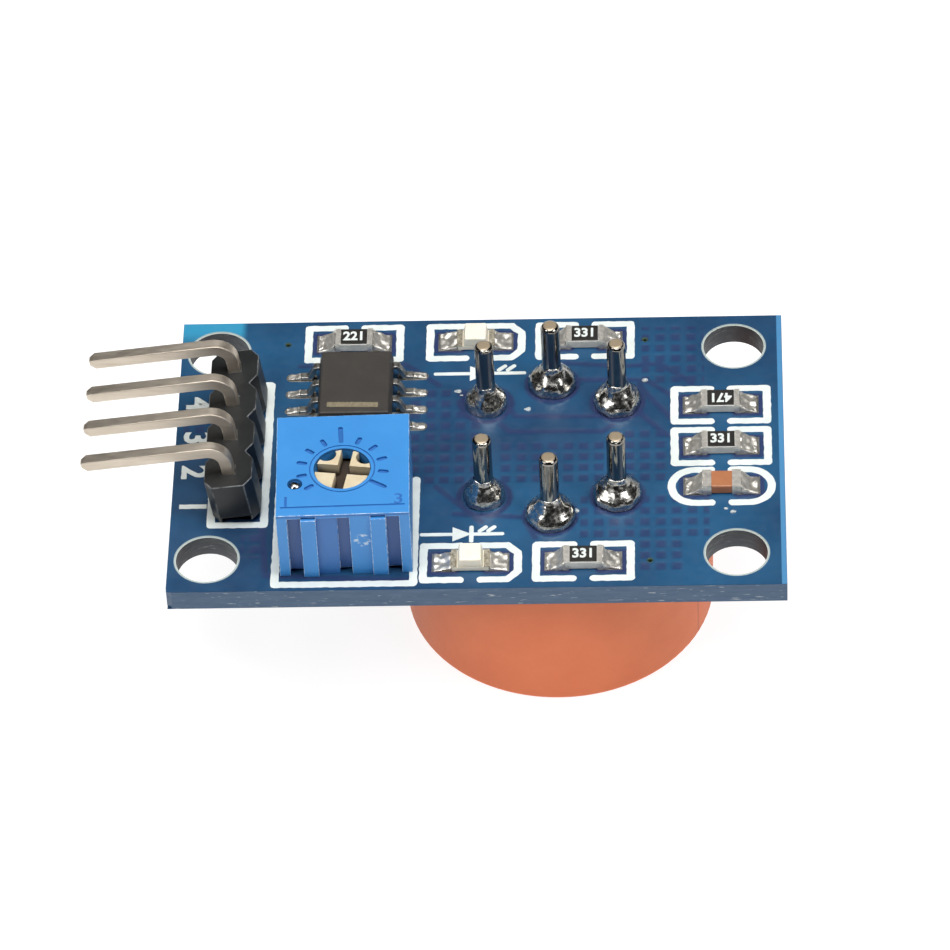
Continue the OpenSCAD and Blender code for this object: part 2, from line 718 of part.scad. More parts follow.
module trimmer_housing() {
    marks = (mark_count - 1) / 2;
    color(trimmer_blue) in_trimmer() difference() {
        rotate([90, 0, 90]) linear_extrude(trimmer_w)
            polygon([[0, 0], [trimmer_d, 0], [trimmer_d, trimmer_h], [lip_bevel, trimmer_h],
                [0, trimmer_h - lip_bevel]]);
        translate([rotor_x, 0, 0]) {
            front_cuts();
            mirror([1, 0, 0]) front_cuts();
        }
        translate([-eps, foot_l, -eps])
            cube([trimmer_w + 2 * eps, trimmer_d - 2 * foot_l, foot_h + eps]);
        translate([foot_l, trimmer_d - foot_l - eps, -eps])
            cube([trimmer_w - 2 * foot_l, foot_l + 2 * eps, foot_h + eps]);
        translate([trimmer_wall, groove_back + front_wall, foot_h - eps])
            cube([trimmer_w - 2 * trimmer_wall, trimmer_d - groove_back - front_wall
                - trimmer_wall, element_top - foot_h + eps]);
        bore([rotor_x, rotor_y], flange_room_d, element_top - eps, cover_z);
        bore([rotor_x, rotor_y], neck_room_d, cover_z - eps, trimmer_h + 1);
        bore([terminal_xs[0], terminal_ys[0]], sight_d, element_top - eps, trimmer_h + 1);
        translate([rotor_x, rotor_y, trimmer_h - mark_depth]) linear_extrude(1) {
            for (i = [-marks:marks]) dial_mark(mark_mid + i * mark_step,
                i == -marks ? dial_ring_r - dial_ring_w / 2 : mark_in,
                i == 0 ? mark_long : i == -marks ? mark_last : mark_out);
            difference() {
                circle(r = dial_ring_r);
                circle(r = dial_ring_r - dial_ring_w);
            }
        }
    }
}

module trimmer_rotor() {
    face_top = trimmer_h - rotor_sunk;
    bite_at = neck_d / 2 + bite_r * 0.1;
    color([0.86, 0.78, 0.66]) in_trimmer() translate([rotor_x, rotor_y, 0]) difference() {
        union() {
            translate([0, 0, flange_z]) cylinder(d = flange_d, h = flange_t);
            translate([0, 0, flange_z]) cylinder(d = neck_d, h = face_top - flange_z);
        }
        rotate(slot_turn) translate([0, 0, face_top - slot_depth]) {
            for (turn = [0, 90]) rotate(turn) translate([-slot_w / 2, -neck_d / 2 - eps, 0])
                cube([slot_w, neck_d + 2 * eps, slot_depth + 1]);
            for (turn = [45:90:315]) rotate(turn) translate([bite_at, 0, 0])
                cylinder(r = bite_r, h = slot_depth + 1);
        }
    }
}

// The spring under the rotor: a ring with two arms that bend down to the track.
module trimmer_wiper() {
    arm_x = (wiper_hole_d + wiper_t) / 2;
    arm_z = flange_z - wiper_t;
    dip = asin((arm_z - element_top - slide_gap) / wiper_arm_l);
    color([0.8, 0.65, 0.4]) in_trimmer() translate([rotor_x, rotor_y, 0]) {
        translate([0, 0, arm_z]) linear_extrude(wiper_t) difference() {
            circle(d = wiper_ring_d);
            circle(d = wiper_hole_d);
        }
        for (turn = [0, 180]) rotate(turn + slot_turn)
            translate([arm_x, -wiper_arm_w / 2, arm_z])
                rotate([0, dip, 0]) cube([wiper_arm_l, wiper_arm_w, wiper_t]);
    }
}

module trimmer_o_ring() {
    ring_r = (neck_d + o_ring_d) / 2 + slide_gap;
    color(near_black) in_trimmer()
        translate([rotor_x, rotor_y, flange_z + flange_t + slide_gap + o_ring_d / 2])
            rotate_extrude() translate([ring_r, 0]) circle(d = o_ring_d, $fn = 24);
}

// A plate that fills the pocket under the rotor, with holes for the terminals.
module pocket_plate(z, t) {
    in_trimmer() difference() {
        translate([trimmer_wall + element_play, groove_back + front_wall + element_play, z])
            cube([trimmer_w - 2 * (trimmer_wall + element_play),
                trimmer_d - groove_back - front_wall - trimmer_wall - 2 * element_play, t]);
        for (i = [0:2]) bore([terminal_xs[i], terminal_ys[i]], terminal_d + 2 * terminal_room,
            z - 1, z + t + 1);
    }
}

module trimmer_element() {
    color([0.93, 0.92, 0.88]) pocket_plate(element_z, element_t);
}

module trimmer_seal() {
    color([0.15, 0.3, 0.5]) pocket_plate(element_z - seal_t, seal_t);
}

module trimmer_terminals() {
    tops = [trimmer_h - sight_sunk, element_top, element_top];
    color(tin) in_trimmer() for (i = [0:2])
        bore([terminal_xs[i], terminal_ys[i]], terminal_d, -terminal_down, tops[i]);
}

module trimmer_solder() {
    color(solder_grey) difference() {
        translate([board_mid, 0, -copper_t]) for (i = [0:2])
            translate(terminal_place(i, -board_t)) mirror([0, 0, 1])
                solder_cone(tail_cone_r, tail_cone_h,
                    terminal_d / 2 + tail_cone_h * tan(trimmer_lean) + cone_collar);
        in_trimmer() for (i = [0:2])
            bore([terminal_xs[i], terminal_ys[i]], terminal_d, -through / 2, 0);
    }
}

// A moulded block w by l by t with drafted sides and a straight band for the leads.
function draft_side(half, t) = [[-half + chip_draft, 0], [half - chip_draft, 0],
    [half, (t - lead_t) / 2], [half, (t + lead_t) / 2], [half - chip_draft, t],
    [-half + chip_draft, t], [-half, (t + lead_t) / 2], [-half, (t - lead_t) / 2]];

module comparator_body() {
    color([0.22, 0.21, 0.2]) on_board()
        translate([chip_at.x, chip_at.y, copper_t + chip_gap]) intersection() {
            rotate([90, 0, 0]) linear_extrude(chip_l + 1, center = true)
                polygon(draft_side(chip_w / 2, chip_t));
            rotate([90, 0, 90]) linear_extrude(chip_w + 1, center = true)
                polygon(draft_side(chip_l / 2, chip_t));
        }
}

// A gull wing lead, drawn from the side of the body down to the pad.
module comparator_leads() {
    top = chip_gap + (chip_t + lead_t) / 2;
    start = chip_w / 2;
    tip = lead_span / 2;
    knee = start + lead_shoulder;
    color(tin) on_board() translate([chip_at.x, chip_at.y, copper_t])
        for (side = [0, 180], y = lead_ys) rotate([0, 0, side]) translate([0, y, 0])
            rotate([90, 0, 0]) linear_extrude(lead_w, center = true)
                polygon([[start, top - lead_t], [knee - lead_bend, top - lead_t],
                    [tip - lead_foot - 2 * lead_bend, lead_bend], [tip - lead_foot, 0], [tip, 0],
                    [tip, lead_t], [tip - lead_foot + 2 * lead_bend, lead_t],
                    [knee + 2 * lead_bend, top - lead_bend], [knee, top], [start, top]]);
}

// Solder along +X on a pad, w wide, falling in a curve from height h to its thin edge.
module solder_run(l, h, w) {
    rotate([90, 0, 0]) linear_extrude(w, center = true)
        polygon(concat([[l, 0], [0, 0]], [for (i = [0:run_steps]) let (t = i / run_steps)
            [l * t, solder_edge_t + (h - solder_edge_t) * pow(1 - t, 2)]]));
}

// Solder from the toe of each lead out to the end of its pad.
module comparator_solder() {
    toe = lead_span / 2;
    color(solder_grey) on_board() translate([chip_at.x, chip_at.y, copper_t])
        for (side = [0, 180], y = lead_ys) rotate([0, 0, side]) translate([toe, y, 0])
            solder_run(chip_pad_out - pad_bare, lead_t, lead_w);
}

// A chip drawn inside its end caps: length, width, height.
module chip_core(h) {
    translate([-part_l / 2 + cap_t, -part_w / 2 + cap_t, cap_t])
        cube([part_l - 2 * cap_t, part_w - 2 * cap_t, h - 2 * cap_t]);
}

// End caps that wrap the ends of a chip.
module chip_caps(h, l) {
    for (side = [0, 180]) rotate([0, 0, side]) difference() {
        translate([part_l / 2 - l, -part_w / 2, 0]) cube([l, part_w, h]);
        translate([part_l / 2 - l - eps, -part_w / 2 + cap_t, cap_t])
            cube([l + eps - cap_t, part_w - 2 * cap_t, h - 2 * cap_t]);
    }
}

module on_pads(at) {
    on_board() translate([at.x, at.y, copper_t]) children();
}

module resistor(i) {
    color([0.86, 0.85, 0.82]) on_pads(resistor_at[i]) chip_core(resistor_h);
}

module resistor_caps(i) {
    color(tin) on_pads(resistor_at[i]) chip_caps(resistor_h, cap_l);
}

module resistor_coats() {
    color(near_black) for (p = resistor_at) on_pads(p)
        translate([-coat_l / 2, -coat_w / 2, resistor_h - cap_t])
            cube([coat_l, coat_w, coat_t]);
}

module capacitor() {
    color([0.72, 0.43, 0.25]) on_pads(capacitor_at) chip_core(capacitor_h);
}

module capacitor_caps() {
    color(tin) on_pads(capacitor_at) chip_caps(capacitor_h, capacitor_cap_l);
}

module led_base(i) {
    color([0.9, 0.88, 0.8]) on_pads(led_at[i])
        translate([-part_l / 2 + led_terminal_t, -part_w / 2, led_terminal_t])
            cube([part_l - 2 * led_terminal_t, part_w, led_base_t - led_terminal_t]);
}

module led_lens(i) {
    color([0.95, 0.92, 0.84]) on_pads(led_at[i]) translate([0, 0, led_base_t])
        rotate([90, 0, 0]) linear_extrude(part_w, center = true)
            polygon([[-lens_l / 2, 0], [lens_l / 2, 0], [lens_l / 2 - lens_draw, lens_h],
                [-lens_l / 2 + lens_draw, lens_h]]);
}

// Metal that wraps each end of a lamp's base, below and above.
module led_terminals(i) {
    color(tin) on_pads(led_at[i]) for (side = [0, 180]) rotate([0, 0, side]) difference() {
        translate([part_l / 2 - led_terminal_l, -part_w / 2, 0])
            cube([led_terminal_l, part_w, led_base_t + led_terminal_t]);
        translate([part_l / 2 - led_terminal_l - eps, -part_w / 2 - eps, led_terminal_t])
            cube([led_terminal_l + eps - led_terminal_t, part_w + 2 * eps,
                led_base_t - led_terminal_t]);
    }
}

// Solder that climbs the ends of the two-ended chips from their pads.
module chip_solder() {
    color(solder_grey) for (i = [0:len(two_pad_at) - 1], side = [0, 180])
        on_pads(two_pad_at[i]) rotate([0, 0, side]) translate([part_l / 2, 0, 0])
            solder_run(pad_out - pad_bare, climb[i], part_w);
}

// The moulded cup: straight sides, a face with a bevelled window and a round outer edge.
module sensor_housing() {
    r = housing_d / 2;
    color(sensor_orange) in_housing() rotate_extrude($fn = 96) difference() {
        union() {
            translate([window_d / 2, face_z])
                square([r - window_d / 2 - face_round, housing_h + housing_top]);
            translate([r - face_round - eps, face_z + face_round])
                square([face_round + eps, housing_h + housing_top - face_round]);
            translate([r - face_round, face_z + face_round]) circle(r = face_round, $fn = 32);
        }
        translate([0, mesh_z]) square([bore_d / 2, housing_h]);
        polygon([[0, face_z - 1], [window_d / 2 + window_bevel + 1, face_z - 1],
            [window_d / 2 + window_bevel, face_z], [window_d / 2, face_z + window_bevel],
            [0, face_z + window_bevel]]);
    }
}

module sensor_base() {
    color([0.8, 0.42, 0.3]) in_sensor() difference() {
        translate([housing_shift, 0, housing_top - base_t])
            cylinder(d = bore_d - 2 * base_play, h = base_t);
        for (i = [0:5]) bore(pin_at(i), sensor_pin_d + 2 * terminal_room);
    }
}

// The mesh disc, pierced on a square grid inside the window.
module sensor_mesh() {
    cell = mesh_pitch - mesh_bar;
    reach = window_d / 2 - mesh_bar;
    steps = floor(reach / mesh_pitch);
    color([0.7, 0.7, 0.69]) in_housing() translate([0, 0, mesh_z]) linear_extrude(mesh_t)
        difference() {
            circle(d = window_d + 2 * mesh_lap, $fn = 96);
            for (i = [-steps:steps], j = [-steps:steps])
                if (norm([abs(i) * mesh_pitch + cell / 2, abs(j) * mesh_pitch + cell / 2]) < reach)
                    translate([i * mesh_pitch, j * mesh_pitch]) square(cell, center = true);
        }
}

module sensor_ring() {
    color([0.78, 0.78, 0.76]) in_housing() translate([0, 0, mesh_z + mesh_t])
        difference() {
            cylinder(d = bore_d - 2 * base_play, h = clamp_h, $fn = 96);
            translate([0, 0, -1]) cylinder(d = window_d + mesh_lap, h = clamp_h + 2, $fn = 96);
        }
}

module along_tube() {
    in_sensor() translate([0, 0, tube_z]) rotate([0, 90, 0]) children();
}

module sensing_tube() {
    color([0.92, 0.91, 0.88]) along_tube() difference() {
        cylinder(d = tube_d, h = tube_l, center = true);
        cylinder(d = tube_d - 2 * tube_wall, h = tube_l + 1, center = true);
    }
}

module tube_bands() {
    band_x = tube_l / 2 - band_w;
    color([0.85, 0.7, 0.3]) along_tube() for (side = [-1, 1])
        translate([0, 0, side * band_x]) difference() {
            cylinder(d = tube_d + 2 * band_t, h = band_w, center = true);
            cylinder(d = tube_d, h = band_w + 1, center = true);
        }
}

// A tube swept along points: a ring of corners at each, joined by faces.
module swept_wire(points, d, sides = 6) {
    n = len(points);
    rings = [for (i = [0:n - 1])
        let (a = points[max(i - 1, 0)], b = points[min(i + 1, n - 1)], t = (b - a) / norm(b - a),
            side_a = abs(t.z) < 0.9 ? [0, 0, 1] : [1, 0, 0],
            u = cross(t, side_a) / norm(cross(t, side_a)), v = cross(t, u))
        for (k = [0:sides - 1]) let (w = 360 * k / sides)
            points[i] + d / 2 * (cos(w) * u + sin(w) * v)];
    body = [for (i = [0:n - 2], k = [0:sides - 1]) let (m = (k + 1) % sides)
        [i * sides + k, i * sides + m, (i + 1) * sides + m, (i + 1) * sides + k]];
    polyhedron(rings, concat(body, [[for (k = [sides - 1:-1:0]) k]],
        [[for (k = [0:sides - 1]) (n - 1) * sides + k]]));
}

// The heater: a fine coil inside the tube, its ends led out to the front and back pins.
module heater_coil() {
    coil_r = tube_d / 2 - tube_wall - wire_d;
    coil_l = tube_l - 2 * coil_inset;
    steps = coil_turns * coil_sides;
    coil = [for (i = [0:steps]) let (a = 360 * i / coil_sides + 90)
        [(i / steps - 0.5) * coil_l, coil_r * cos(a), tube_z + coil_r * sin(a)]];
    lead = [[0, sensor_pcd / 2, pin_in_z - wire_d / 2],
        [0.6, sensor_pcd / 2 - 0.9, pin_in_z - wire_d / 2 - 0.1],
        [tube_l / 2 + 0.35, 1.4, tube_z - 0.1], [tube_l / 2 + 0.35, 0.3, tube_z + coil_r]];
    color([0.6, 0.6, 0.6]) in_sensor() swept_wire(concat(
        [for (p = lead) [-p.x, -p.y, p.z]], coil, [for (i = [3:-1:0]) lead[i]]), wire_d);
}

// Four wires from the bands on the tube to the corner pins.
module electrode_wires() {
    band_x = tube_l / 2 - band_w;
    foot = pin_in_z - wire_d / 2;
    touch = (tube_d + wire_d) / 2 + band_t;
    color([0.8, 0.8, 0.78]) in_sensor() for (i = [0, 2, 3, 5]) {
        p = pin_at(i);
        side_x = p.x > 0 ? 1 : -1;
        side_y = p.y > 0 ? 1 : -1;
        swept_wire([[p.x, p.y, foot], [p.x * 0.85, p.y * 0.8, foot - 0.15],
            [side_x * band_x, side_y * (touch + 0.5), tube_z + 0.25],
            [side_x * band_x, side_y * touch, tube_z]], wire_d);
    }
}

// A round pin, bevelled at its cut end, from inside the sensor up through the board.
module sensor_pin(i) {
    top = board_t + sensor_pin_up;
    r = sensor_pin_d / 2;
    color([0.55, 0.52, 0.5]) in_sensor() translate([pin_at(i).x, pin_at(i).y, 0])
        rotate_extrude() polygon([[0, pin_in_z], [r, pin_in_z], [r, top - sensor_pin_chamfer],
            [r - sensor_pin_chamfer, top], [0, top]]);
}

module sensor_solder() {
    color(solder_grey) in_sensor() for (i = [0:5])
        translate([pin_at(i).x, pin_at(i).y, board_t + copper_t]) difference() {
            solder_cone(cone_r * cone_grow[i], cone_h, sensor_pin_d / 2 + cone_collar);
            translate([0, 0, -1]) cylinder(d = sensor_pin_d, h = cone_h + 2);
        }
}

circuit_board();
solder_pads();
plated_holes();
vias();
silkscreen();
header_strip();
header_pin(0);  // header_pin_1
header_pin(1);  // header_pin_2
header_pin(2);  // header_pin_3
header_pin(3);  // header_pin_4
header_solder();
trimmer_housing();
trimmer_rotor();
trimmer_wiper();
trimmer_o_ring();
trimmer_element();
trimmer_seal();
trimmer_terminals();
trimmer_solder();
comparator_body();
comparator_leads();
comparator_solder();
resistor(0);  // resistor_1
resistor(1);  // resistor_2
resistor(2);  // resistor_3
resistor(3);  // resistor_4
resistor(4);  // resistor_5
resistor_caps(0);  // resistor_1_caps
resistor_caps(1);  // resistor_2_caps
resistor_caps(2);  // resistor_3_caps
resistor_caps(3);  // resistor_4_caps
resistor_caps(4);  // resistor_5_caps
resistor_coats();
capacitor();
capacitor_caps();
led_base(0);  // led_1_base
led_lens(0);  // led_1_lens
led_terminals(0);  // led_1_terminals
led_base(1);  // led_2_base
led_lens(1);  // led_2_lens
led_terminals(1);  // led_2_terminals
chip_solder();
sensor_housing();
sensor_base();
sensor_mesh();
sensor_ring();
sensing_tube();
tube_bands();
heater_coil();
electrode_wires();
sensor_pin(0);  // sensor_pin_1
sensor_pin(1);  // sensor_pin_2
sensor_pin(2);  // sensor_pin_3
sensor_pin(3);  // sensor_pin_4
sensor_pin(4);  // sensor_pin_5
sensor_pin(5);  // sensor_pin_6
sensor_solder();
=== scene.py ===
import json
import math
import random

import bpy
from mathutils import Matrix, Vector, noise


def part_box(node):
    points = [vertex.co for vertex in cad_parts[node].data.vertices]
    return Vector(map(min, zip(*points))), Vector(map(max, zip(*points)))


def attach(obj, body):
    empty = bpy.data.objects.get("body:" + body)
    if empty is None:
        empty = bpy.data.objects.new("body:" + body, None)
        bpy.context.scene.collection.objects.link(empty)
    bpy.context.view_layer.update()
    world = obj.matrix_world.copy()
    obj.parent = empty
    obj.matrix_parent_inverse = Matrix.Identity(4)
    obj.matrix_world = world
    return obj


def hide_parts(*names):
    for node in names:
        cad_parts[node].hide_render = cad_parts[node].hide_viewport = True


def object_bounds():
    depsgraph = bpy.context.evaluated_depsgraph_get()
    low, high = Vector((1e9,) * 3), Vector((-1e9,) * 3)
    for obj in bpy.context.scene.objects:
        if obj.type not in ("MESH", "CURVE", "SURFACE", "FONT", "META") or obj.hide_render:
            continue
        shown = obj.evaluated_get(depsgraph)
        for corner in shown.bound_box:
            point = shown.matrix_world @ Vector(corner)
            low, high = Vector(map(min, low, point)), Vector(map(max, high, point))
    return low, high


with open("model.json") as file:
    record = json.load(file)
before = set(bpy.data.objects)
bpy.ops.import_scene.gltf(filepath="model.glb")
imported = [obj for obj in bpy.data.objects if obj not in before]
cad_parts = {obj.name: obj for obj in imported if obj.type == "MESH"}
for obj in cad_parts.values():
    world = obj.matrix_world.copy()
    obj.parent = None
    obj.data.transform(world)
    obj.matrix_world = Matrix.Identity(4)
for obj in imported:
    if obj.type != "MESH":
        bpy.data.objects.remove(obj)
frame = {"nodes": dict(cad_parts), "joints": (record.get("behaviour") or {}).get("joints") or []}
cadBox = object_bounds()
nodes = frame["nodes"]
random.seed(41)
mm = 0.001
boardLow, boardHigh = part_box("circuit_board")
boardMid = (boardLow + boardHigh) / 2
boardTop = boardHigh.z
print("frame loaded,", len(nodes), "CAD nodes")


# a point given from the middle of the board, on its component side, in mm
def onBoard(x, y, z=0.0):
    return Vector((boardMid.x + x * mm, boardMid.y + y * mm, boardTop + z * mm))


# the trimmer stands a little turned on the board; its rotor turns about the joint's own axis
trimmerLook = {
    "foot": (-10.1, -8.94), "turn": 1.5, "size": (6.85, 7.2, 4.38), "edge": 0.07, "lip": 0.26,
    "feet": 0.2, "footDeep": 0.8, "ribOut": 0.14, "ribDrop": 0.03, "nick": 0.09,
    # half of the ribbed front from its middle: from, to, depth
    "grooves": [(-0.32, 0.32, 0.3), (2.18, 2.88, 0.3)], "panel": (0.31, 1.4, 0.06), "rib": (1.4, 2.18, 0.3),
    "line": (0.24, 0.54, 0.12, 0.06), "hollow": ((0.45, 1.1, -1), (6.62, 6.75, 1.9)),
    "bore": 1.475, "room": (2.03, -2.9, -0.75), "ring": (1.64, 1.71), "markDeep": 0.12,
    "markWide": 0.26, "marks": 11, "markStep": 25, "markMid": 92, "markFrom": 1.85, "markTo": 2.42,
    "markLong": 3.05, "markLast": 2.72, "sight": (0.965, 2.3, 0.39, 0.75),
    "digits": [("1", 0.5, 1.0), ("3", 6.29, 1.0)], "digitSize": 1.02, "digitDeep": 0.1,
    "scuff": (4.35, 0.05, 2.45),
}
trimmerFrame = (Matrix.Translation(onBoard(*trimmerLook["foot"], 0.03))
    @ Matrix.Rotation(math.radians(trimmerLook["turn"]), 4, "Z"))
turnJoint = next(joint for joint in frame["joints"] if joint["name"] == "rotor_turn")
turnAxis = Vector(turnJoint["axis"])
turnPlace = Vector(turnJoint["pos_m"])
trimmerTop = (trimmerFrame @ Vector((0, 0, trimmerLook["size"][2] * mm))).z
axisFrame = (Matrix.Translation(turnPlace + turnAxis * (trimmerTop - turnPlace.z) / turnAxis.z)
    @ Vector((0, 0, 1)).rotation_difference(turnAxis).to_matrix().to_4x4())


# ---- materials ----
# sRGB hex to linear RGBA
def linear(hexCode):
    parts = [int(hexCode[i : i + 2], 16) / 255 for i in (0, 2, 4)]
    return [p / 12.92 if p <= 0.04045 else ((p + 0.055) / 1.055) ** 2.4 for p in parts] + [1]


# adds a node with its settings; a feed is a value, or another node's socket to link
def addNode(tree, kind, settings, feeds):
    made = tree.nodes.new(kind)
    for name, value in settings.items():
        setattr(made, name, value)
    for name, value in feeds.items():
        if isinstance(value, bpy.types.NodeSocket):
            tree.links.new(value, made.inputs[name])
        else:
            made.inputs[name].default_value = value
    return made


# what most finishes here share: patches of two colours, a fine grain in gloss and in bump
def mixFinish(name, look):
    made = bpy.data.materials.new(name)
    made.use_nodes = True
    tree = made.node_tree
    shader = tree.nodes["Principled BSDF"]
    for socket, value in look.get("shader", {}).items():
        shader.inputs[socket].default_value = value
    place = addNode(tree, "ShaderNodeTexCoord", {}, {}).outputs["Object"]
    stretch = look.get("stretch", (1, 1, 1))
    drawn = addNode(tree, "ShaderNodeMapping", {}, {"Vector": place, "Scale": stretch}).outputs[0]
    patches = addNode(tree, "ShaderNodeTexNoise", {},
        {"Vector": drawn, "Scale": 1 / (look["patch"] * mm), "Detail": 4.0, "Roughness": 0.6})
    spread = look.get("spread", 0.25)
    share = addNode(tree, "ShaderNodeMapRange", {},
        {"Value": patches.outputs[0], "From Min": 0.5 - spread, "From Max": 0.5 + spread})
    colour = addNode(tree, "ShaderNodeMix", {"data_type": "RGBA"},
        {"Factor": share.outputs[0], "A": linear(look["colours"][0]), "B": linear(look["colours"][1])})
    tree.links.new(colour.outputs["Result"], shader.inputs["Base Color"])
    grain = addNode(tree, "ShaderNodeTexNoise", {},
        {"Vector": drawn, "Scale": 1 / (look["grain"] * mm), "Detail": 3.0})
    gloss = addNode(tree, "ShaderNodeMapRange", {},
        {"Value": grain.outputs[0], "From Min": 0.3, "From Max": 0.7,
         "To Min": look["rough"][0], "To Max": look["rough"][1]})
    tree.links.new(gloss.outputs[0], shader.inputs["Roughness"])
    bump = addNode(tree, "ShaderNodeBump", {},
        {"Height": grain.outputs[0], "Strength": look.get("bump", 0.3), "Distance": look["depth"] * mm})
    tree.links.new(bump.outputs[0], shader.inputs["Normal"])
    return {"material": made, "tree": tree, "shader": shader, "place": place, "drawn": drawn}


# lays a second colour over a finish where mask is 1
def overColour(finish, mask, hexCode):
    under = finish["shader"].inputs["Base Color"].links[0].from_socket
    over = addNode(finish["tree"], "ShaderNodeMix", {"data_type": "RGBA"},
        {"Factor": mask, "A": under, "B": linear(hexCode)})
    finish["tree"].links.new(over.outputs["Result"], finish["shader"].inputs["Base Color"])


# a soft step from 0 to 1 as value passes from low to high, or the other way round
def softStep(finish, value, low, high):
    ends = {"From Min": low, "From Max": high} if low < high else {
        "From Min": high, "From Max": low, "To Min": 1.0, "To Max": 0.0}
    return addNode(finish["tree"], "ShaderNodeMapRange", {"interpolation_type": "SMOOTHSTEP"},
        {"Value": value, **ends}).outputs[0]


def doMath(finish, operation, a, b):
    node = addNode(finish["tree"], "ShaderNodeMath", {"operation": operation}, {})
    for socket, value in zip(node.inputs, (a, b)):
        if isinstance(value, bpy.types.NodeSocket):
            finish["tree"].links.new(value, socket)
        else:
            socket.default_value = value
    return node.outputs[0]


# how far the shaded point lies along a direction, from the origin of the part
def along(finish, direction):
    node = addNode(finish["tree"], "ShaderNodeVectorMath", {"operation": "DOT_PRODUCT"}, {})
    finish["tree"].links.new(finish["place"], node.inputs[0])
    node.inputs[1].default_value = direction
    return node.outputs["Value"]


def noiseOf(finish, size, stretched=True):
    return addNode(finish["tree"], "ShaderNodeTexNoise", {}, {
        "Vector": finish["drawn" if stretched else "place"], "Scale": 1 / (size * mm),
        "Detail": 3.0}).outputs[0]


# how far the shaded point lies from a spot, or from the nearest mounting hole
def awayFrom(finish, spot):
    node = addNode(finish["tree"], "ShaderNodeVectorMath", {"operation": "DISTANCE"}, {})
    finish["tree"].links.new(finish["place"], node.inputs[0])
    node.inputs[1].default_value = spot
    return node.outputs["Value"]


def awayFromHoles(finish):
    squares = []
    for direction, size in (((1, 0, 0), 13.7), ((0, 1, 0), 7.65)):
        side = doMath(finish, "ABSOLUTE", along(finish, direction), 0)
        offset = doMath(finish, "SUBTRACT", side, size * mm)
        squares.append(doMath(finish, "MULTIPLY", offset, offset))
    return doMath(finish, "SQRT", doMath(finish, "ADD", *squares), 0)


# liquid photo-imaged solder mask on copper: a wet glassy coat, darker where no copper lies under it
solderMask = mixFinish("solderMask", {
    "colours": ("1B3B5C", "21547A"), "patch": 9.0, "spread": 0.16, "grain": 0.35,
    "rough": (0.3, 0.42), "bump": 0.2, "depth": 0.003, "shader": {"IOR": 1.5}})
bareGlass = addNode(solderMask["tree"], "ShaderNodeAttribute", {"attribute_name": "bareGlass"}, {})
overColour(solderMask, bareGlass.outputs["Fac"], "2A335C")
# no copper in the corner behind the header, and none in a strip along the far edge
acrossBoard, upBoard = along(solderMask, (1, 0, 0)), along(solderMask, (0, 1, 0))
corner = doMath(solderMask, "MULTIPLY", softStep(solderMask, acrossBoard, -0.0122, -0.0127),
    softStep(solderMask, upBoard, 0.0078, 0.0095))
overColour(solderMask, doMath(solderMask, "MULTIPLY", corner, 0.85), "3796BC")
overColour(solderMask, softStep(solderMask, acrossBoard, 0.01597, 0.01602), "4A86B4")
overColour(solderMask, softStep(solderMask, awayFromHoles(solderMask), 0.00174, 0.00169), "A9B6B4")

# routed and drilled glass laminate: blue-grey edge with pale glass ends, hole walls dark and scored
laminateEdge = mixFinish("laminateEdge", {
    "colours": ("35506E", "4B647F"), "patch": 0.3, "spread": 0.3, "grain": 0.1,
    "rough": (0.45, 0.7), "bump": 0.5, "depth": 0.01, "stretch": (0.12, 0.12, 1.0),
    "shader": {"IOR": 1.55}})
overColour(laminateEdge, softStep(laminateEdge, noiseOf(laminateEdge, 0.09), 0.64, 0.74), "A9B3B6")
holeWall = softStep(laminateEdge, awayFromHoles(laminateEdge), 0.00175, 0.0017)
overColour(laminateEdge, holeWall, "34393E")
overColour(laminateEdge, doMath(laminateEdge, "MULTIPLY", holeWall,
    softStep(laminateEdge, noiseOf(laminateEdge, 0.07), 0.6, 0.75)), "77797A")
overColour(laminateEdge, doMath(laminateEdge, "MULTIPLY", holeWall,
    softStep(laminateEdge, along(laminateEdge, (0, 0, 1)), boardTop - 0.03 * mm, boardTop)), "B4BDB8")

# epoxy legend ink, printed thick: off-white with a chalky, slightly broken surface
printedInk = mixFinish("printedInk", {
    "colours": ("E6ECE7", "D3DAD7"), "patch": 1.2, "grain": 0.12, "rough": (0.45, 0.7),
    "bump": 0.5, "depth": 0.01, "shader": {"IOR": 1.5}})

# black glass filled nylon of the strip, near black; its bevelled corners painted pale in patches as a painted
# highlight
blackNylon = mixFinish("blackNylon", {
    "colours": ("1C1D1E", "272929"), "patch": 0.9, "grain": 0.06, "rough": (0.3, 0.46),
    "bump": 0.35, "depth": 0.006, "shader": {"IOR": 1.53}})
nylonRimHighlight = mixFinish("nylonRimHighlight", {
    "colours": ("2A2B2B", "6F7272"), "patch": 0.5, "spread": 0.12, "grain": 0.05,
    "rough": (0.3, 0.5), "bump": 0.4, "depth": 0.005, "shader": {"IOR": 1.53}})

# tin over drawn brass wire: warm champagne metal with faint lines along its length
tinnedWire = mixFinish("tinnedWire", {
    "colours": ("C4B8A8", "DDD2C3"), "patch": 0.4, "grain": 0.09, "rough": (0.42, 0.56),
    "bump": 0.3, "depth": 0.003, "stretch": (0.1, 1.0, 1.0), "shader": {"Metallic": 1.0}})

# soft solder left to set by itself: bright, wavy, nearly a mirror between dull grains
softSolder = mixFinish("softSolder", {
    "colours": ("DAD8D3", "B2B0AB"), "patch": 0.35, "grain": 0.2, "rough": (0.12, 0.34),
    "bump": 0.5, "depth": 0.02, "shader": {"Metallic": 1.0}})

# thin reflowed solder on a flat pad: frosted grey-white, crossed by fine crystals
padSolder = mixFinish("padSolder", {
    "colours": ("C2BEB6", "EAE6DD"), "patch": 0.22, "grain": 0.09, "rough": (0.34, 0.56),
    "bump": 0.8, "depth": 0.012, "shader": {"Metallic": 0.85}})

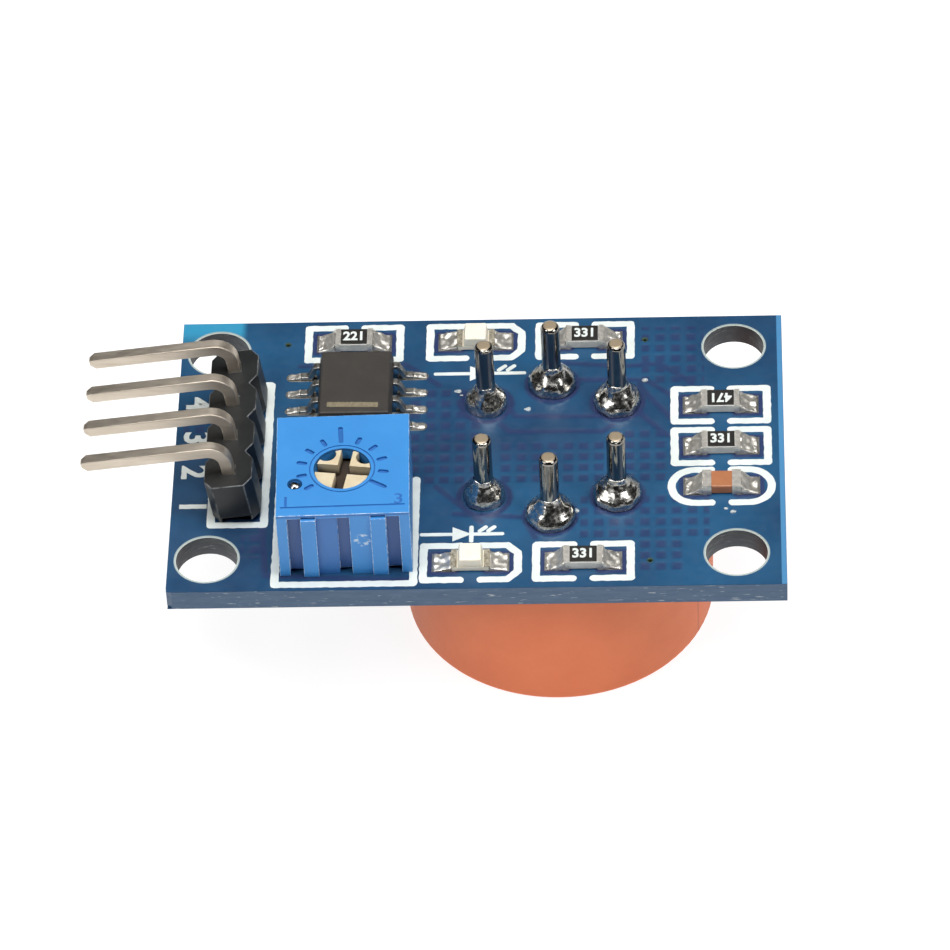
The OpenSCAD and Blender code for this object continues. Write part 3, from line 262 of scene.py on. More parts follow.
# reflowed pads of the lamps, where flux has browned the grains
fluxedSolder = mixFinish("fluxedSolder", {
    "colours": ("8F8570", "CFC8B6"), "patch": 0.14, "spread": 0.15, "grain": 0.07,
    "rough": (0.3, 0.6), "bump": 0.9, "depth": 0.02, "shader": {"Metallic": 0.7}})

# tinned copper of pads, rings and leads: satin grey
tinnedCopper = mixFinish("tinnedCopper", {
    "colours": ("A8A6A0", "C6C3BB"), "patch": 0.4, "grain": 0.1, "rough": (0.28, 0.46),
    "bump": 0.5, "depth": 0.006, "shader": {"Metallic": 1.0}})

# copper in the barrels of the vias, half closed by mask, painted dark as painted shade inside the small holes
viaCopper = mixFinish("viaCopper", {
    "colours": ("24403F", "56684F"), "patch": 0.15, "grain": 0.06, "rough": (0.35, 0.6),
    "bump": 0.5, "depth": 0.006, "shader": {"Metallic": 0.5}})

# nickel plated sensor pins: dark mirror shafts, their cropped ends a warm raw cut
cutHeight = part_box("sensor_pin_1")[1].z
pinNickel = mixFinish("pinNickel", {
    "colours": ("85827C", "9F9B94"), "patch": 0.5, "grain": 0.25, "rough": (0.07, 0.18),
    "bump": 0.3, "depth": 0.012, "stretch": (1.0, 1.0, 0.15), "shader": {"Metallic": 1.0}})
cutEnd = softStep(pinNickel, along(pinNickel, (0, 0, 1)), cutHeight - 0.05 * mm, cutHeight - 0.01 * mm)
overColour(pinNickel, cutEnd, "A8977E")
pinNickel["tree"].links.new(doMath(pinNickel, "SUBTRACT", 1.0, doMath(pinNickel, "MULTIPLY", cutEnd, 0.6)),
    pinNickel["shader"].inputs["Metallic"])
shaftGloss = pinNickel["shader"].inputs["Roughness"].links[0].from_socket
pinNickel["tree"].links.new(doMath(pinNickel, "ADD", shaftGloss, doMath(pinNickel, "MULTIPLY", cutEnd, 0.3)),
    pinNickel["shader"].inputs["Roughness"])

# blue glass filled thermoset of the trimmer, with painted shade darkening the panels and grooves of its front
# and the floors of its engraved marks, a white scuff on one panel; its moulded corners painted pale as a
# painted highlight
trimmerBlue = mixFinish("trimmerBlue", {
    "colours": ("3585CC", "3C8DD3"), "patch": 2.2, "grain": 0.08, "rough": (0.36, 0.5),
    "bump": 0.3, "depth": 0.005, "shader": {"IOR": 1.55}})
frontWay = trimmerFrame.to_3x3() @ Vector((0, 1, 0))
frontAt = frontWay.dot(trimmerFrame.translation)
intoFront = doMath(trimmerBlue, "SUBTRACT", along(trimmerBlue, frontWay), frontAt)
belowLip = softStep(trimmerBlue, along(trimmerBlue, (0, 0, 1)), trimmerTop - 0.2 * mm,
    trimmerTop - 0.26 * mm)
# painted shade: the panels and grooves of the front get darker the deeper they are set in, below the lip
for low, high, strength, hexCode in ((0.02, 0.04, 0.75, "2F62A6"), (0.1, 0.28, 0.85, "365C98")):
    groove = doMath(trimmerBlue, "MULTIPLY", softStep(trimmerBlue, intoFront, low * mm, high * mm),
        softStep(trimmerBlue, intoFront, 0.42 * mm, 0.36 * mm))
    groove = doMath(trimmerBlue, "MULTIPLY", groove, belowLip)
    overColour(trimmerBlue, doMath(trimmerBlue, "MULTIPLY", groove, strength), hexCode)
# painted shade: the floors of the engraved marks, ring and digits are painted a darker blue
markFloorShade = softStep(trimmerBlue, along(trimmerBlue, (0, 0, 1)), trimmerTop - 0.03 * mm,
    trimmerTop - 0.07 * mm)
markFloorShade = doMath(trimmerBlue, "SUBTRACT", markFloorShade, softStep(trimmerBlue,
    along(trimmerBlue, (0, 0, 1)), trimmerTop - 0.14 * mm, trimmerTop - 0.2 * mm))
overColour(trimmerBlue, doMath(trimmerBlue, "MULTIPLY", markFloorShade, 0.8), "235FA8")
scuffAway = awayFrom(trimmerBlue, trimmerFrame @ (Vector(trimmerLook["scuff"]) * mm))
scuff = doMath(trimmerBlue, "MULTIPLY", softStep(trimmerBlue, scuffAway, 0.14 * mm, 0.3 * mm),
    softStep(trimmerBlue, scuffAway, 0.5 * mm, 0.36 * mm))
scuff = doMath(trimmerBlue, "MULTIPLY", scuff,
    softStep(trimmerBlue, noiseOf(trimmerBlue, 0.22), 0.46, 0.6))
overColour(trimmerBlue, scuff, "B9CFE2")
# painted highlight: the bevelled corners of the housing take this pale speckled blue
trimmerRimHighlight = mixFinish("trimmerRimHighlight", {
    "colours": ("4A93D4", "DCE9F2"), "patch": 0.22, "spread": 0.12, "grain": 0.05,
    "rough": (0.35, 0.55), "bump": 0.5, "depth": 0.006, "shader": {"IOR": 1.55}})

# ivory moulded nylon of the rotor, with painted shade darkening it towards the floors of its slots
rotorIvory = mixFinish("rotorIvory", {
    "colours": ("DCCFB2", "CDBB98"), "patch": 0.8, "grain": 0.1, "rough": (0.34, 0.48),
    "bump": 0.3, "depth": 0.008, "shader": {"IOR": 1.53, "Subsurface Weight": 0.08,
    "Subsurface Radius": (0.0004, 0.0003, 0.0002)}})
# painted shade: dark brown deeper down in the slots
overColour(rotorIvory, softStep(rotorIvory, along(rotorIvory, (0, 0, 1)), trimmerTop - 0.25 * mm,
    trimmerTop - 0.8 * mm), "3B2F24")

# black transfer moulded epoxy: dark warm grey, finely sanded by the mould
packageEpoxy = mixFinish("packageEpoxy", {
    "colours": ("2F2B27", "39342F"), "patch": 1.0, "grain": 0.05, "rough": (0.45, 0.62),
    "bump": 0.45, "depth": 0.007, "shader": {"IOR": 1.55}})

# where a laser has scorched that epoxy: a dry bronze grey
laserMark = mixFinish("laserMark", {
    "colours": ("8C8168", "6C6350"), "patch": 0.15, "grain": 0.04, "rough": (0.6, 0.8),
    "bump": 0.5, "depth": 0.004, "shader": {"IOR": 1.5}})

# fired alumina of the resistors: grey-white, dry
firedAlumina = mixFinish("firedAlumina", {
    "colours": ("DAD9D2", "C6C5BE"), "patch": 0.4, "grain": 0.06, "rough": (0.35, 0.55),
    "bump": 0.4, "depth": 0.006, "shader": {"IOR": 1.7}})

# black glass overcoat of the resistors: smooth, thin, a little brown
glassOvercoat = mixFinish("glassOvercoat", {
    "colours": ("24221F", "2E2B28"), "patch": 0.4, "grain": 0.06, "rough": (0.3, 0.45),
    "bump": 0.3, "depth": 0.004, "shader": {"IOR": 1.5}})

# tan barium titanate of the capacitor: fine, dry, slightly waxy
tanCeramic = mixFinish("tanCeramic", {
    "colours": ("B26F43", "A4643A"), "patch": 0.5, "grain": 0.05, "rough": (0.38, 0.5),
    "bump": 0.3, "depth": 0.005, "shader": {"IOR": 1.8}})

# milky epoxy of the lamps: cream, light goes a little way in
milkyEpoxy = mixFinish("milkyEpoxy", {
    "colours": ("F8F1E0", "F1E9D6"), "patch": 0.6, "grain": 0.08, "rough": (0.3, 0.45),
    "bump": 0.25, "depth": 0.006, "shader": {"IOR": 1.52, "Subsurface Weight": 0.35,
    "Subsurface Radius": (0.0005, 0.0004, 0.0003)}})

# salmon orange thermoset of the sensor cup: satin, clouded where the melt met, one faint mould line
sensorOrange = mixFinish("sensorOrange", {
    "colours": ("DE7040", "E87D4B"), "patch": 4.0, "grain": 0.12, "rough": (0.5, 0.62),
    "bump": 0.25, "depth": 0.008, "shader": {"IOR": 1.52, "Subsurface Weight": 0.08,
    "Subsurface Radius": (0.0008, 0.0004, 0.0002)}})
seamAt = doMath(sensorOrange, "ABSOLUTE", doMath(sensorOrange, "SUBTRACT",
    along(sensorOrange, (1, 0, 0)), onBoard(11.35, 0).x), 0)
overColour(sensorOrange, doMath(sensorOrange, "MULTIPLY",
    softStep(sensorOrange, seamAt, 0.05 * mm, 0.02 * mm), 0.5), "B45539")

# drawn stainless wire and strip of the gauze, its ring and the fine heater wires
gauzeSteel = mixFinish("gauzeSteel", {
    "colours": ("A7A6A3", "C2C1BD"), "patch": 0.3, "grain": 0.05, "rough": (0.22, 0.36),
    "bump": 0.3, "depth": 0.003, "shader": {"Metallic": 1.0}})

# fired gold bands inside the sensor, and the brass of the wiper
firedGold = mixFinish("firedGold", {
    "colours": ("D9B45A", "C79F49"), "patch": 0.3, "grain": 0.05, "rough": (0.25, 0.4),
    "bump": 0.3, "depth": 0.003, "shader": {"Metallic": 1.0}})

# silicone rubber of the o-ring
sealRubber = mixFinish("sealRubber", {
    "colours": ("1B1B1B", "242424"), "patch": 0.4, "grain": 0.05, "rough": (0.5, 0.7),
    "bump": 0.3, "depth": 0.005, "shader": {"IOR": 1.42}})

# blue potting resin under the trimmer
pottingResin = mixFinish("pottingResin", {
    "colours": ("2E4A78", "38588A"), "patch": 1.0, "grain": 0.1, "rough": (0.25, 0.4),
    "bump": 0.3, "depth": 0.01, "shader": {"IOR": 1.5}})

# dried flux: small clear drops, pale where they crazed
driedFlux = mixFinish("driedFlux", {
    "colours": ("D8D9D2", "8FA0AE"), "patch": 0.12, "grain": 0.05, "rough": (0.05, 0.2),
    "bump": 0.6, "depth": 0.01, "shader": {"IOR": 1.5, "Coat Weight": 0.5}})
print("materials made")


# ---- tools for the pieces ----
def pick(piece):
    if bpy.context.mode != "OBJECT":
        bpy.ops.object.mode_set(mode="OBJECT")
    bpy.ops.object.select_all(action="DESELECT")
    piece.select_set(True)
    bpy.context.view_layer.objects.active = piece


# freezes place, turn and scale into the mesh
def settle(piece, matrix=None):
    pick(piece)
    if matrix is not None:
        piece.matrix_world = matrix @ piece.matrix_world
    bpy.ops.object.transform_apply(location=True, rotation=True, scale=True)
    return piece


def applyModifier(piece, kind, settings):
    pick(piece)
    modifier = piece.modifiers.new(kind.lower(), kind)
    for name, value in settings.items():
        setattr(modifier, name, value)
    bpy.ops.object.modifier_apply(modifier=modifier.name)


# a copy of a CAD node's mesh, its loose triangles merged and its flat faces made whole
def copyNode(nodeName, flat=0.5):
    piece = bpy.data.objects.new(nodeName + "Copy", nodes[nodeName].data.copy())
    bpy.context.collection.objects.link(piece)
    piece.data.materials.clear()
    pick(piece)
    bpy.ops.mesh.customdata_custom_splitnormals_clear()
    bpy.ops.object.mode_set(mode="EDIT")
    bpy.ops.mesh.select_all(action="SELECT")
    bpy.ops.mesh.remove_doubles(threshold=0.0005 * mm)
    bpy.ops.mesh.dissolve_limited(angle_limit=math.radians(flat))
    bpy.ops.object.mode_set(mode="OBJECT")
    return piece


# breaks the sharp edges of a piece with a small radius; rim gives the new faces their own finish
def breakEdges(piece, width, segments=2, angle=30, rim=False, smooth=False):
    pick(piece)
    if smooth:
        bpy.ops.object.shade_smooth()
    else:
        bpy.ops.object.shade_flat()
    if rim:
        while len(piece.data.materials) < 2:
            piece.data.materials.append(None)
    applyModifier(piece, "BEVEL", {"width": width * mm, "segments": segments,
        "limit_method": "ANGLE", "angle_limit": math.radians(angle), "harden_normals": smooth,
        "material": 1 if rim else -1})


# names a finished piece, gives it its finish and ties it to its body
def finishPiece(piece, name, finish, replaced=(), body="board", rim=None):
    piece.name = name
    piece.data.name = name
    if rim is None:
        piece.data.materials.clear()
        piece.data.materials.append(finish["material"])
    else:
        piece.data.materials[0] = finish["material"]
        piece.data.materials[1] = rim["material"]
    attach(piece, body)
    if replaced:
        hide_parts(*replaced)
    return piece


# a CAD node keeps its shape and takes a finish
def finishNode(nodeName, finish, angle=30):
    node = nodes[nodeName]
    node.data.materials.clear()
    node.data.materials.append(finish["material"])
    pick(node)
    bpy.ops.object.shade_smooth_by_angle(angle=math.radians(angle))


def joinPieces(pieces):
    pick(pieces[0])
    for piece in pieces:
        piece.select_set(True)
    if len(pieces) > 1:
        bpy.ops.object.join()
    return pieces[0]


def carve(piece, cutter, operation="DIFFERENCE"):
    applyModifier(piece, "BOOLEAN", {"operation": operation, "solver": "EXACT", "object": cutter})
    bpy.data.objects.remove(cutter)


# a plain block or drum to build with or to cut with, in mm
def block(low, high):
    pick(nodes["circuit_board"])
    bpy.ops.mesh.primitive_cube_add(size=1, location=(Vector(low) + Vector(high)) * mm / 2)
    piece = bpy.context.object
    piece.scale = (Vector(high) - Vector(low)) * mm
    return settle(piece)


def drum(x, y, radius, low, high, sides=48):
    pick(nodes["circuit_board"])
    bpy.ops.mesh.primitive_cylinder_add(vertices=sides, radius=radius * mm,
        depth=(high - low) * mm, location=(x * mm, y * mm, (low + high) * mm / 2))
    return settle(bpy.context.object)


# a bar with round ends, lying along X from the origin
def roundBar(start, end, width, low, high):
    piece = drum(0, 0, width / 2, low, high, 16)
    for vertex in piece.data.vertices:
        reach = (end - start - width) / 2 * mm
        if abs(vertex.co.x) > width * 0.05 * mm:
            vertex.co.x += math.copysign(reach, vertex.co.x)
        vertex.co.x += (start + end) / 2 * mm
    return piece


# a grid bent into shape by a rule: rule(u, v) gives the point in mm for u and v from 0 to 1
def shapedGrid(across, deep, rule):
    pick(nodes["circuit_board"])
    bpy.ops.mesh.primitive_grid_add(x_subdivisions=across, y_subdivisions=deep, size=1)
    piece = bpy.context.object
    for vertex in piece.data.vertices:
        vertex.co = Vector(rule(vertex.co.x + 0.5, vertex.co.y + 0.5)) * mm
    pick(piece)
    bpy.ops.object.mode_set(mode="EDIT")
    bpy.ops.mesh.select_all(action="SELECT")
    bpy.ops.mesh.remove_doubles(threshold=0.0005 * mm)
    bpy.ops.mesh.normals_make_consistent(inside=False)
    bpy.ops.object.mode_set(mode="OBJECT")
    bpy.ops.object.shade_smooth()
    return piece


# the point a share of the way along a row of points
def alongRow(row, share):
    step = min(share, 0.99999) * (len(row) - 1)
    first = int(step)
    return [a + (b - a) * (step - first) for a, b in zip(row[first], row[first + 1])]


# moves each point along its normal by smooth noise
def lumpy(piece, amount, wave, offset=0.0):
    shifts = []
    for vertex in piece.data.vertices:
        spot = vertex.co / (wave * mm) + Vector((offset, 0, 0))
        shifts.append(vertex.normal * noise.noise(spot) * amount * mm)
    for vertex, shift in zip(piece.data.vertices, shifts):
        vertex.co += shift


# solder as it sets: a CAD node's solder remade in even faces, rounded off and left wavy
def pourSolder(nodeName, name, finish, look):
    piece = copyNode(nodeName)
    applyModifier(piece, "REMESH", {"mode": "VOXEL", "voxel_size": look["even"] * mm})
    applyModifier(piece, "SMOOTH", {"factor": 0.5, "iterations": look["rounds"]})
    lumpy(piece, look["lump"], look["wave"])
    pick(piece)
    bpy.ops.object.shade_smooth()
    return finishPiece(piece, name, finish, [nodeName])


# cuts long edges short and lets the outline wander, as thick ink does
def roughen(piece, longest, amount, wave):
    for attempt in range(8):
        pick(piece)
        bpy.ops.object.mode_set(mode="EDIT")
        bpy.ops.mesh.select_mode(type="EDGE")
        bpy.ops.mesh.select_all(action="DESELECT")
        bpy.ops.object.mode_set(mode="OBJECT")
        points = piece.data.vertices
        chosen = [edge for edge in piece.data.edges
            if (points[edge.vertices[0]].co - points[edge.vertices[1]].co).length > longest * mm]
        if not chosen:
            break
        for edge in chosen:
            edge.select = True
        bpy.ops.object.mode_set(mode="EDIT")
        bpy.ops.mesh.subdivide(number_cuts=1)
        bpy.ops.object.mode_set(mode="OBJECT")
    for vertex in piece.data.vertices:
        spot = Vector((vertex.co.x, vertex.co.y, 0)) / (wave * mm)
        vertex.co.x += noise.noise(spot) * amount * mm
        vertex.co.y += noise.noise(spot + Vector((9, 4, 2))) * amount * mm


# raised lettering: only plain digits, standing on the surface at a point
def writeDigits(body, spot, look, turn=0.0):
    pick(nodes["circuit_board"])
    bpy.ops.object.text_add()
    words = bpy.context.object
    words.data.body = body
    words.data.align_x = "CENTER"
    words.data.align_y = "CENTER"
    words.data.size = look["size"] * mm
    words.data.offset = look.get("bold", 0.0) * mm
    words.data.extrude = look["thick"] / 2 * mm
    words.data.resolution_u = 3
    bpy.ops.object.convert(target="MESH")
    words = bpy.context.object
    words.scale = (look.get("wide", 1.0), 1, 1)
    settle(words)
    words.matrix_world = Matrix.Translation(spot) @ Matrix.Rotation(math.radians(turn), 4, "Z")
    return settle(words)


# ---- camera, floor and light ----
cameraLook = {
    "lens": 246.67, "elevation": 44.982, "azimuth": 3.1296, "roll": -3.047,
    "distance": 341.531, "aside": -0.2117, "above": -1.2363,
}
azimuth, elevation, roll = (math.radians(cameraLook[k]) for k in ("azimuth", "elevation", "roll"))
back = Vector((math.sin(azimuth) * math.cos(elevation), -math.cos(azimuth) * math.cos(elevation),
    math.sin(elevation)))
level = Vector((math.cos(azimuth), math.sin(azimuth), 0))
upright = back.cross(level)
right = level * math.cos(roll) + upright * math.sin(roll)
up = upright * math.cos(roll) - level * math.sin(roll)
cameraData = bpy.data.cameras.new("camera")
cameraData.lens = cameraLook["lens"]
cameraData.sensor_width = 36
cameraData.clip_start = 0.01
camera = bpy.data.objects.new("camera", cameraData)
bpy.context.collection.objects.link(camera)
spot = onBoard(0, 0) + (back * cameraLook["distance"] + right * cameraLook["aside"]
    + up * cameraLook["above"]) * mm
camera.matrix_world = Matrix.Translation(spot) @ Matrix((right, up, back)).transposed().to_4x4()
bpy.context.scene.camera = camera

pick(nodes["circuit_board"])
bpy.ops.mesh.primitive_plane_add(size=2.4, location=(0, 0, cadBox[0].z - 0.02 * mm))
floor = bpy.context.object
floor.name = "floor"
paleFloor = bpy.data.materials.new("paleFloor")
paleFloor.use_nodes = True
floorShader = paleFloor.node_tree.nodes["Principled BSDF"]
floorShader.inputs["Base Color"].default_value = linear("8C8C8C")
floorShader.inputs["Roughness"].default_value = 0.9
floorShader.inputs["Emission Color"].default_value = (1, 1, 1, 1)
floorShader.inputs["Emission Strength"].default_value = 0.88
floor.data.materials.append(paleFloor)

# one broad soft box overhead, two small bright ones left and right of the camera for the glints
lights = {
    "topBox": {"at": (0.02, 0.02, 0.72), "size": 0.42, "power": 5.0},
    "leftBox": {"at": (-0.4, -0.3, 0.46), "size": 0.24, "power": 1.4},
    "rightBox": {"at": (0.44, -0.22, 0.5), "size": 0.26, "power": 1.8},
}
for name, light in lights.items():
    lamp = bpy.data.lights.new(name, "AREA")
    lamp.energy = light["power"]
    lamp.size = light["size"]
    holder = bpy.data.objects.new(name, lamp)
    bpy.context.collection.objects.link(holder)
    holder.location = light["at"]
    holder.rotation_euler = (-Vector(light["at"])).to_track_quat("-Z", "Y").to_euler()

# a dim room, darkest where a level glossy top mirrors it to the camera
worldLook = {"room": 0.24, "dark": 0.03, "mirrored": (-0.04, 0.72, 0.69)}
world = bpy.data.worlds.new("studio")
bpy.context.scene.world = world
world.use_nodes = True
skyTree = world.node_tree
skyShader = skyTree.nodes["Background"]
direction = addNode(skyTree, "ShaderNodeTexCoord", {}, {}).outputs["Generated"]
towards = addNode(skyTree, "ShaderNodeVectorMath", {"operation": "DOT_PRODUCT"}, {})
skyTree.links.new(direction, towards.inputs[0])
towards.inputs[1].default_value = worldLook["mirrored"]
skyShade = addNode(skyTree, "ShaderNodeMapRange", {"interpolation_type": "SMOOTHSTEP"},
    {"Value": towards.outputs["Value"], "From Min": 0.3, "From Max": 0.85,
     "To Min": worldLook["room"], "To Max": worldLook["dark"]})
skyTree.links.new(skyShade.outputs[0], skyShader.inputs["Strength"])
bpy.context.scene.view_settings.view_transform = "Standard"
print("camera, floor and lights placed")

# ---- board: a mask sheet on either face, its copper pattern showing through ----
maskLook = {
    "overCopper": 0.021, "overBare": 0.006, "soft": 0.05, "inset": 0.04,
    "squarePitch": 0.81, "squareSide": 0.5, "squareOrigin": (1.43, 0.32), "lineWidth": 0.34,
    # fields of square openings in the copper: left, right, front, back
    "fields": [(-3.7, 0.2, -2.3, 4.6), (0.9, 9.9, -2.3, 0.7), (7.5, 9.9, 0.7, 1.5),
        (5.3, 12.0, -6.5, -3.4), (8.3, 10.8, -9.0, -6.5), (8.5, 11.8, 4.8, 9.2),
        (-12.2, -10.9, -7.6, -5.9), (-15.6, -13.0, 1.2, 3.6)],
    # isolation gaps beside the tracks, as polylines
    "gaps": [[(1.17, 3.77), (1.9, 2.58), (7.15, 2.47), (7.6, 2.9)],
        [(1.14, 1.95), (1.58, 1.43), (6.51, 1.36), (6.98, 1.83)],
        [(3.0, 6.2), (4.5, 6.55), (7.5, 6.25), (9.5, 6.4), (11.2, 4.9)],
        [(5.0, 5.25), (8.2, 5.2), (9.0, 4.98), (10.06, 4.01), (11.3, 2.7)],
        [(8.4, 4.84), (8.98, 3.83), (10.1, 2.26)], [(8.3, 2.9), (8.97, 2.01), (9.91, 0.99)],
        [(-9.6, 6.6), (-4.0, 6.6), (-2.2, 5.0)], [(-1.2, -4.6), (2.4, -4.9), (3.0, -6.4)],
        [(-2.2, -2.6), (0.2, -5.2)], [(-13.6, -5.2), (-11.2, -5.2), (-10.9, -8.9), (-3.1, -9.35)]],
}
viaSpots = [(-10.33, 8.25), (8.71, 8.25), (8.96, -8.15)]
viaLook = {"hole": 0.13, "wall": 0.17, "ridge": 0.27, "lift": 0.012}


# how far a point lies from a line between two points
def lineDistance(x, y, a, b):
    dx, dy = b[0] - a[0], b[1] - a[1]
    t = max(0.0, min(1.0, ((x - a[0]) * dx + (y - a[1]) * dy) / (dx * dx + dy * dy)))
    return math.hypot(x - a[0] - t * dx, y - a[1] - t * dy)


# a node's box as left, right, front, back in mm from the middle of the board
def padBox(nodeName):
    low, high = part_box(nodeName)
    return ((low.x - boardMid.x) / mm, (high.x - boardMid.x) / mm,
        (low.y - boardMid.y) / mm, (high.y - boardMid.y) / mm)


pinSpots = []
for i in range(1, 7):
    x0, x1, y0, y1 = padBox(f"sensor_pin_{i}")
    pinSpots.append(((x0 + x1) / 2, (y0 + y1) / 2))
chipNodes = ["resistor_1_caps", "resistor_2_caps", "resistor_3_caps", "resistor_4_caps",
    "resistor_5_caps", "capacitor_caps", "led_1_terminals", "led_2_terminals"]
padFields = []
for name in chipNodes:
    x0, x1, y0, y1 = padBox(name)
    for side in (-1, 1):
        middle = (x0 + x1) / 2 + side * 1.4
        padFields.append((middle - 0.62, middle + 0.62, y0 - 0.03, y1 + 0.03))
holes = [(x, y, 1.67) for x in (-13.7 - 0.27, 13.7 - 0.27) for y in (-7.65, 7.65)]
holes += [(x, y, viaLook["wall"]) for x, y in viaSpots]


# 1 where there is bare glass laminate under the mask, 0 over copper
def bareAt(x, y):
    bareness = 0.0
    soft = maskLook["soft"]
    pitch = maskLook["squarePitch"]
    for x0, x1, y0, y1 in maskLook["fields"]:
        if x0 < x < x1 and y0 < y < y1:
            px = abs((x - maskLook["squareOrigin"][0] + pitch / 2) % pitch - pitch / 2)
            py = abs((y - maskLook["squareOrigin"][1] + pitch / 2) % pitch - pitch / 2)
            inside = maskLook["squareSide"] / 2 - max(px, py)
            bareness = max(bareness, min(1.0, max(0.0, inside / soft + 0.5)) * 0.68)
    for line in maskLook["gaps"]:
        for a, b in zip(line, line[1:]):
            inside = maskLook["lineWidth"] / 2 - lineDistance(x, y, a, b)
            bareness = max(bareness, min(1.0, max(0.0, inside / soft + 0.5)) * 0.68)
    for px, py in pinSpots:
        ring = abs(math.hypot(x - px, y - py) - 1.32)
        bareness = max(bareness, min(1.0, max(0.0, (0.16 - ring) / soft + 0.5)) * 0.85)
    for x0, x1, y0, y1 in padFields:
        outside = math.hypot(max(x0 - x, x - x1, 0), max(y0 - y, y - y1, 0))
        bareness = max(bareness, min(1.0, max(0.0, (0.2 - outside) / soft + 0.5)) * 0.85)
    return bareness


def makeMaskSheet(name, side, step):
    size = [(boardHigh.x - boardLow.x) / mm, (boardHigh.y - boardLow.y) / mm]
    surface = boardTop if side > 0 else boardLow.z
    pick(nodes["circuit_board"])
    bpy.ops.mesh.primitive_grid_add(x_subdivisions=round(size[0] / step),
        y_subdivisions=round(size[1] / step), size=1)
    piece = bpy.context.object
    amounts = []
    for vertex in piece.data.vertices:
        x = vertex.co.x * (size[0] - maskLook["inset"])
        y = vertex.co.y * (size[1] - maskLook["inset"])
        for hx, hy, r in holes:
            away = math.hypot(x - hx, y - hy)
            if 0 < abs(away - r) < step * 0.75:  # pulls the rim of a hole round
                x, y = hx + (x - hx) * r / away, hy + (y - hy) * r / away
        bareness = bareAt(x, y) if side > 0 else 0.0
        lift = maskLook["overCopper"] + (maskLook["overBare"] - maskLook["overCopper"]) * bareness
        lift += 0.0015 * noise.noise(Vector((x / 0.7, y / 0.7, side)))
        for hx, hy in viaSpots:  # the mask climbs over the copper ring of a via
            away = math.hypot(x - hx, y - hy)
            lift += viaLook["lift"] * max(0.0, 1 - abs(away - viaLook["ridge"]) / 0.12)
        amounts.append(bareness)
        vertex.co = Vector((boardMid.x + x * mm, boardMid.y + y * mm, surface + side * lift * mm))
    bareGlassLayer = piece.data.attributes.new("bareGlass", "FLOAT", "POINT")
    bareGlassLayer.data.foreach_set("value", amounts)
    bpy.ops.object.mode_set(mode="EDIT")
    bpy.ops.mesh.select_mode(type="FACE")
    bpy.ops.mesh.select_all(action="DESELECT")
    bpy.ops.object.mode_set(mode="OBJECT")
    for face in piece.data.polygons:
        x, y = (face.center.x - boardMid.x) / mm, (face.center.y - boardMid.y) / mm
        face.select = any(math.hypot(x - hx, y - hy) < r - 0.005 for hx, hy, r in holes)
    bpy.ops.object.mode_set(mode="EDIT")
    bpy.ops.mesh.delete(type="FACE")
    if side < 0:
        bpy.ops.mesh.select_all(action="SELECT")
        bpy.ops.mesh.flip_normals()
    bpy.ops.object.mode_set(mode="OBJECT")
    bpy.ops.object.shade_smooth()
    return finishPiece(piece, name, solderMask)


makeMaskSheet("maskSheetTop", 1, 0.1)
makeMaskSheet("maskSheetBottom", -1, 0.2)
finishNode("circuit_board", laminateEdge)
finishNode("solder_pads", tinnedCopper)
finishNode("plated_holes", tinnedCopper)

# small tented vias: a thin plated barrel whose ring lies under the mask
barrelRow = [(viaLook["wall"] + 0.01, -1.21), (viaLook["wall"] + 0.01, 0.024),
    (viaLook["hole"], 0.024), (viaLook["hole"], -1.21), (viaLook["wall"] + 0.01, -1.21)]
barrels = []
for x, y in viaSpots:
    def barrelRule(u, v, x=x, y=y):
        radius, height = alongRow(barrelRow, v)
        angle = 2 * math.pi * u
        return (radius * math.cos(angle), radius * math.sin(angle), height)
    barrels.append(settle(shapedGrid(20, 24, barrelRule), Matrix.Translation(onBoard(x, y))))
finishPiece(joinPieces(barrels), "viaBarrels", viaCopper, ["vias"])

# printed legend with a wandering edge, digits for the pins, diode signs for the lamps
inkLook = {"longest": 0.22, "wander": 0.035, "wave": 0.3, "thick": 0.03}
legend = copyNode("silkscreen")
roughen(legend, inkLook["longest"], inkLook["wander"], inkLook["wave"])
finishPiece(legend, "printedLegend", printedInk, ["silkscreen"])
digitLook = {"size": 1.95, "bold": 0.05, "thick": 0.04, "wide": 1.05}
digits = []
for digit, y in (("4", 3.81), ("3", 1.27), ("2", -1.27), ("1", -3.81)):
    digits.append(writeDigits(digit, onBoard(-14.95, y, 0.022), digitLook, -90))
digits = joinPieces(digits)
roughen(digits, 0.2, 0.025, 0.25)
finishPiece(digits, "pinDigits", printedInk)


# a diode sign between two ends: lead, filled arrow, bar, lead and two rays
def drawLampSign(left, right, y, tall):
    middle, half, stroke = (left + right) / 2, tall / 2, 0.24
    lines = [((left, y), (middle - half, y)), ((middle + half, y), (right, y)),
        ((middle + half, y - half), (middle + half, y + half)),
        ((middle + half * 1.9, y + half * 0.45), (middle + half * 2.5, y + half)),
        ((middle + half * 2.8, y + half * 0.45), (middle + half * 3.4, y + half))]
    strokes = []
    for i, (a, b) in enumerate(lines):
        run = math.hypot(b[0] - a[0], b[1] - a[1])
        bar = roundBar(-stroke / 2, run + stroke / 2, stroke, 0.004, 0.034 + i * 0.002)
        turn = Matrix.Rotation(math.atan2(b[1] - a[1], b[0] - a[0]), 4, "Z")
        strokes.append(settle(bar, Matrix.Translation(onBoard(*a)) @ turn))
    arrow = drum(0, 0, 1, 0.004, 0.045, 3)
    for vertex in arrow.data.vertices:  # the three corners: back low, back high, tip
        vertex.co.x, vertex.co.y = ((half * mm, 0.0) if vertex.co.y > 0.5 * mm else
            (-half * mm, math.copysign(half * 1.05 * mm, vertex.co.x)))
    strokes.append(settle(arrow, Matrix.Translation(onBoard(middle, y))))
    return strokes


signs = drawLampSign(-2.38, 2.29, 5.84, 1.06) + drawLampSign(-2.86, 1.29, -6.1, 0.98)
signs = joinPieces(signs)
finishPiece(signs, "lampSigns", printedInk)
print("board done")

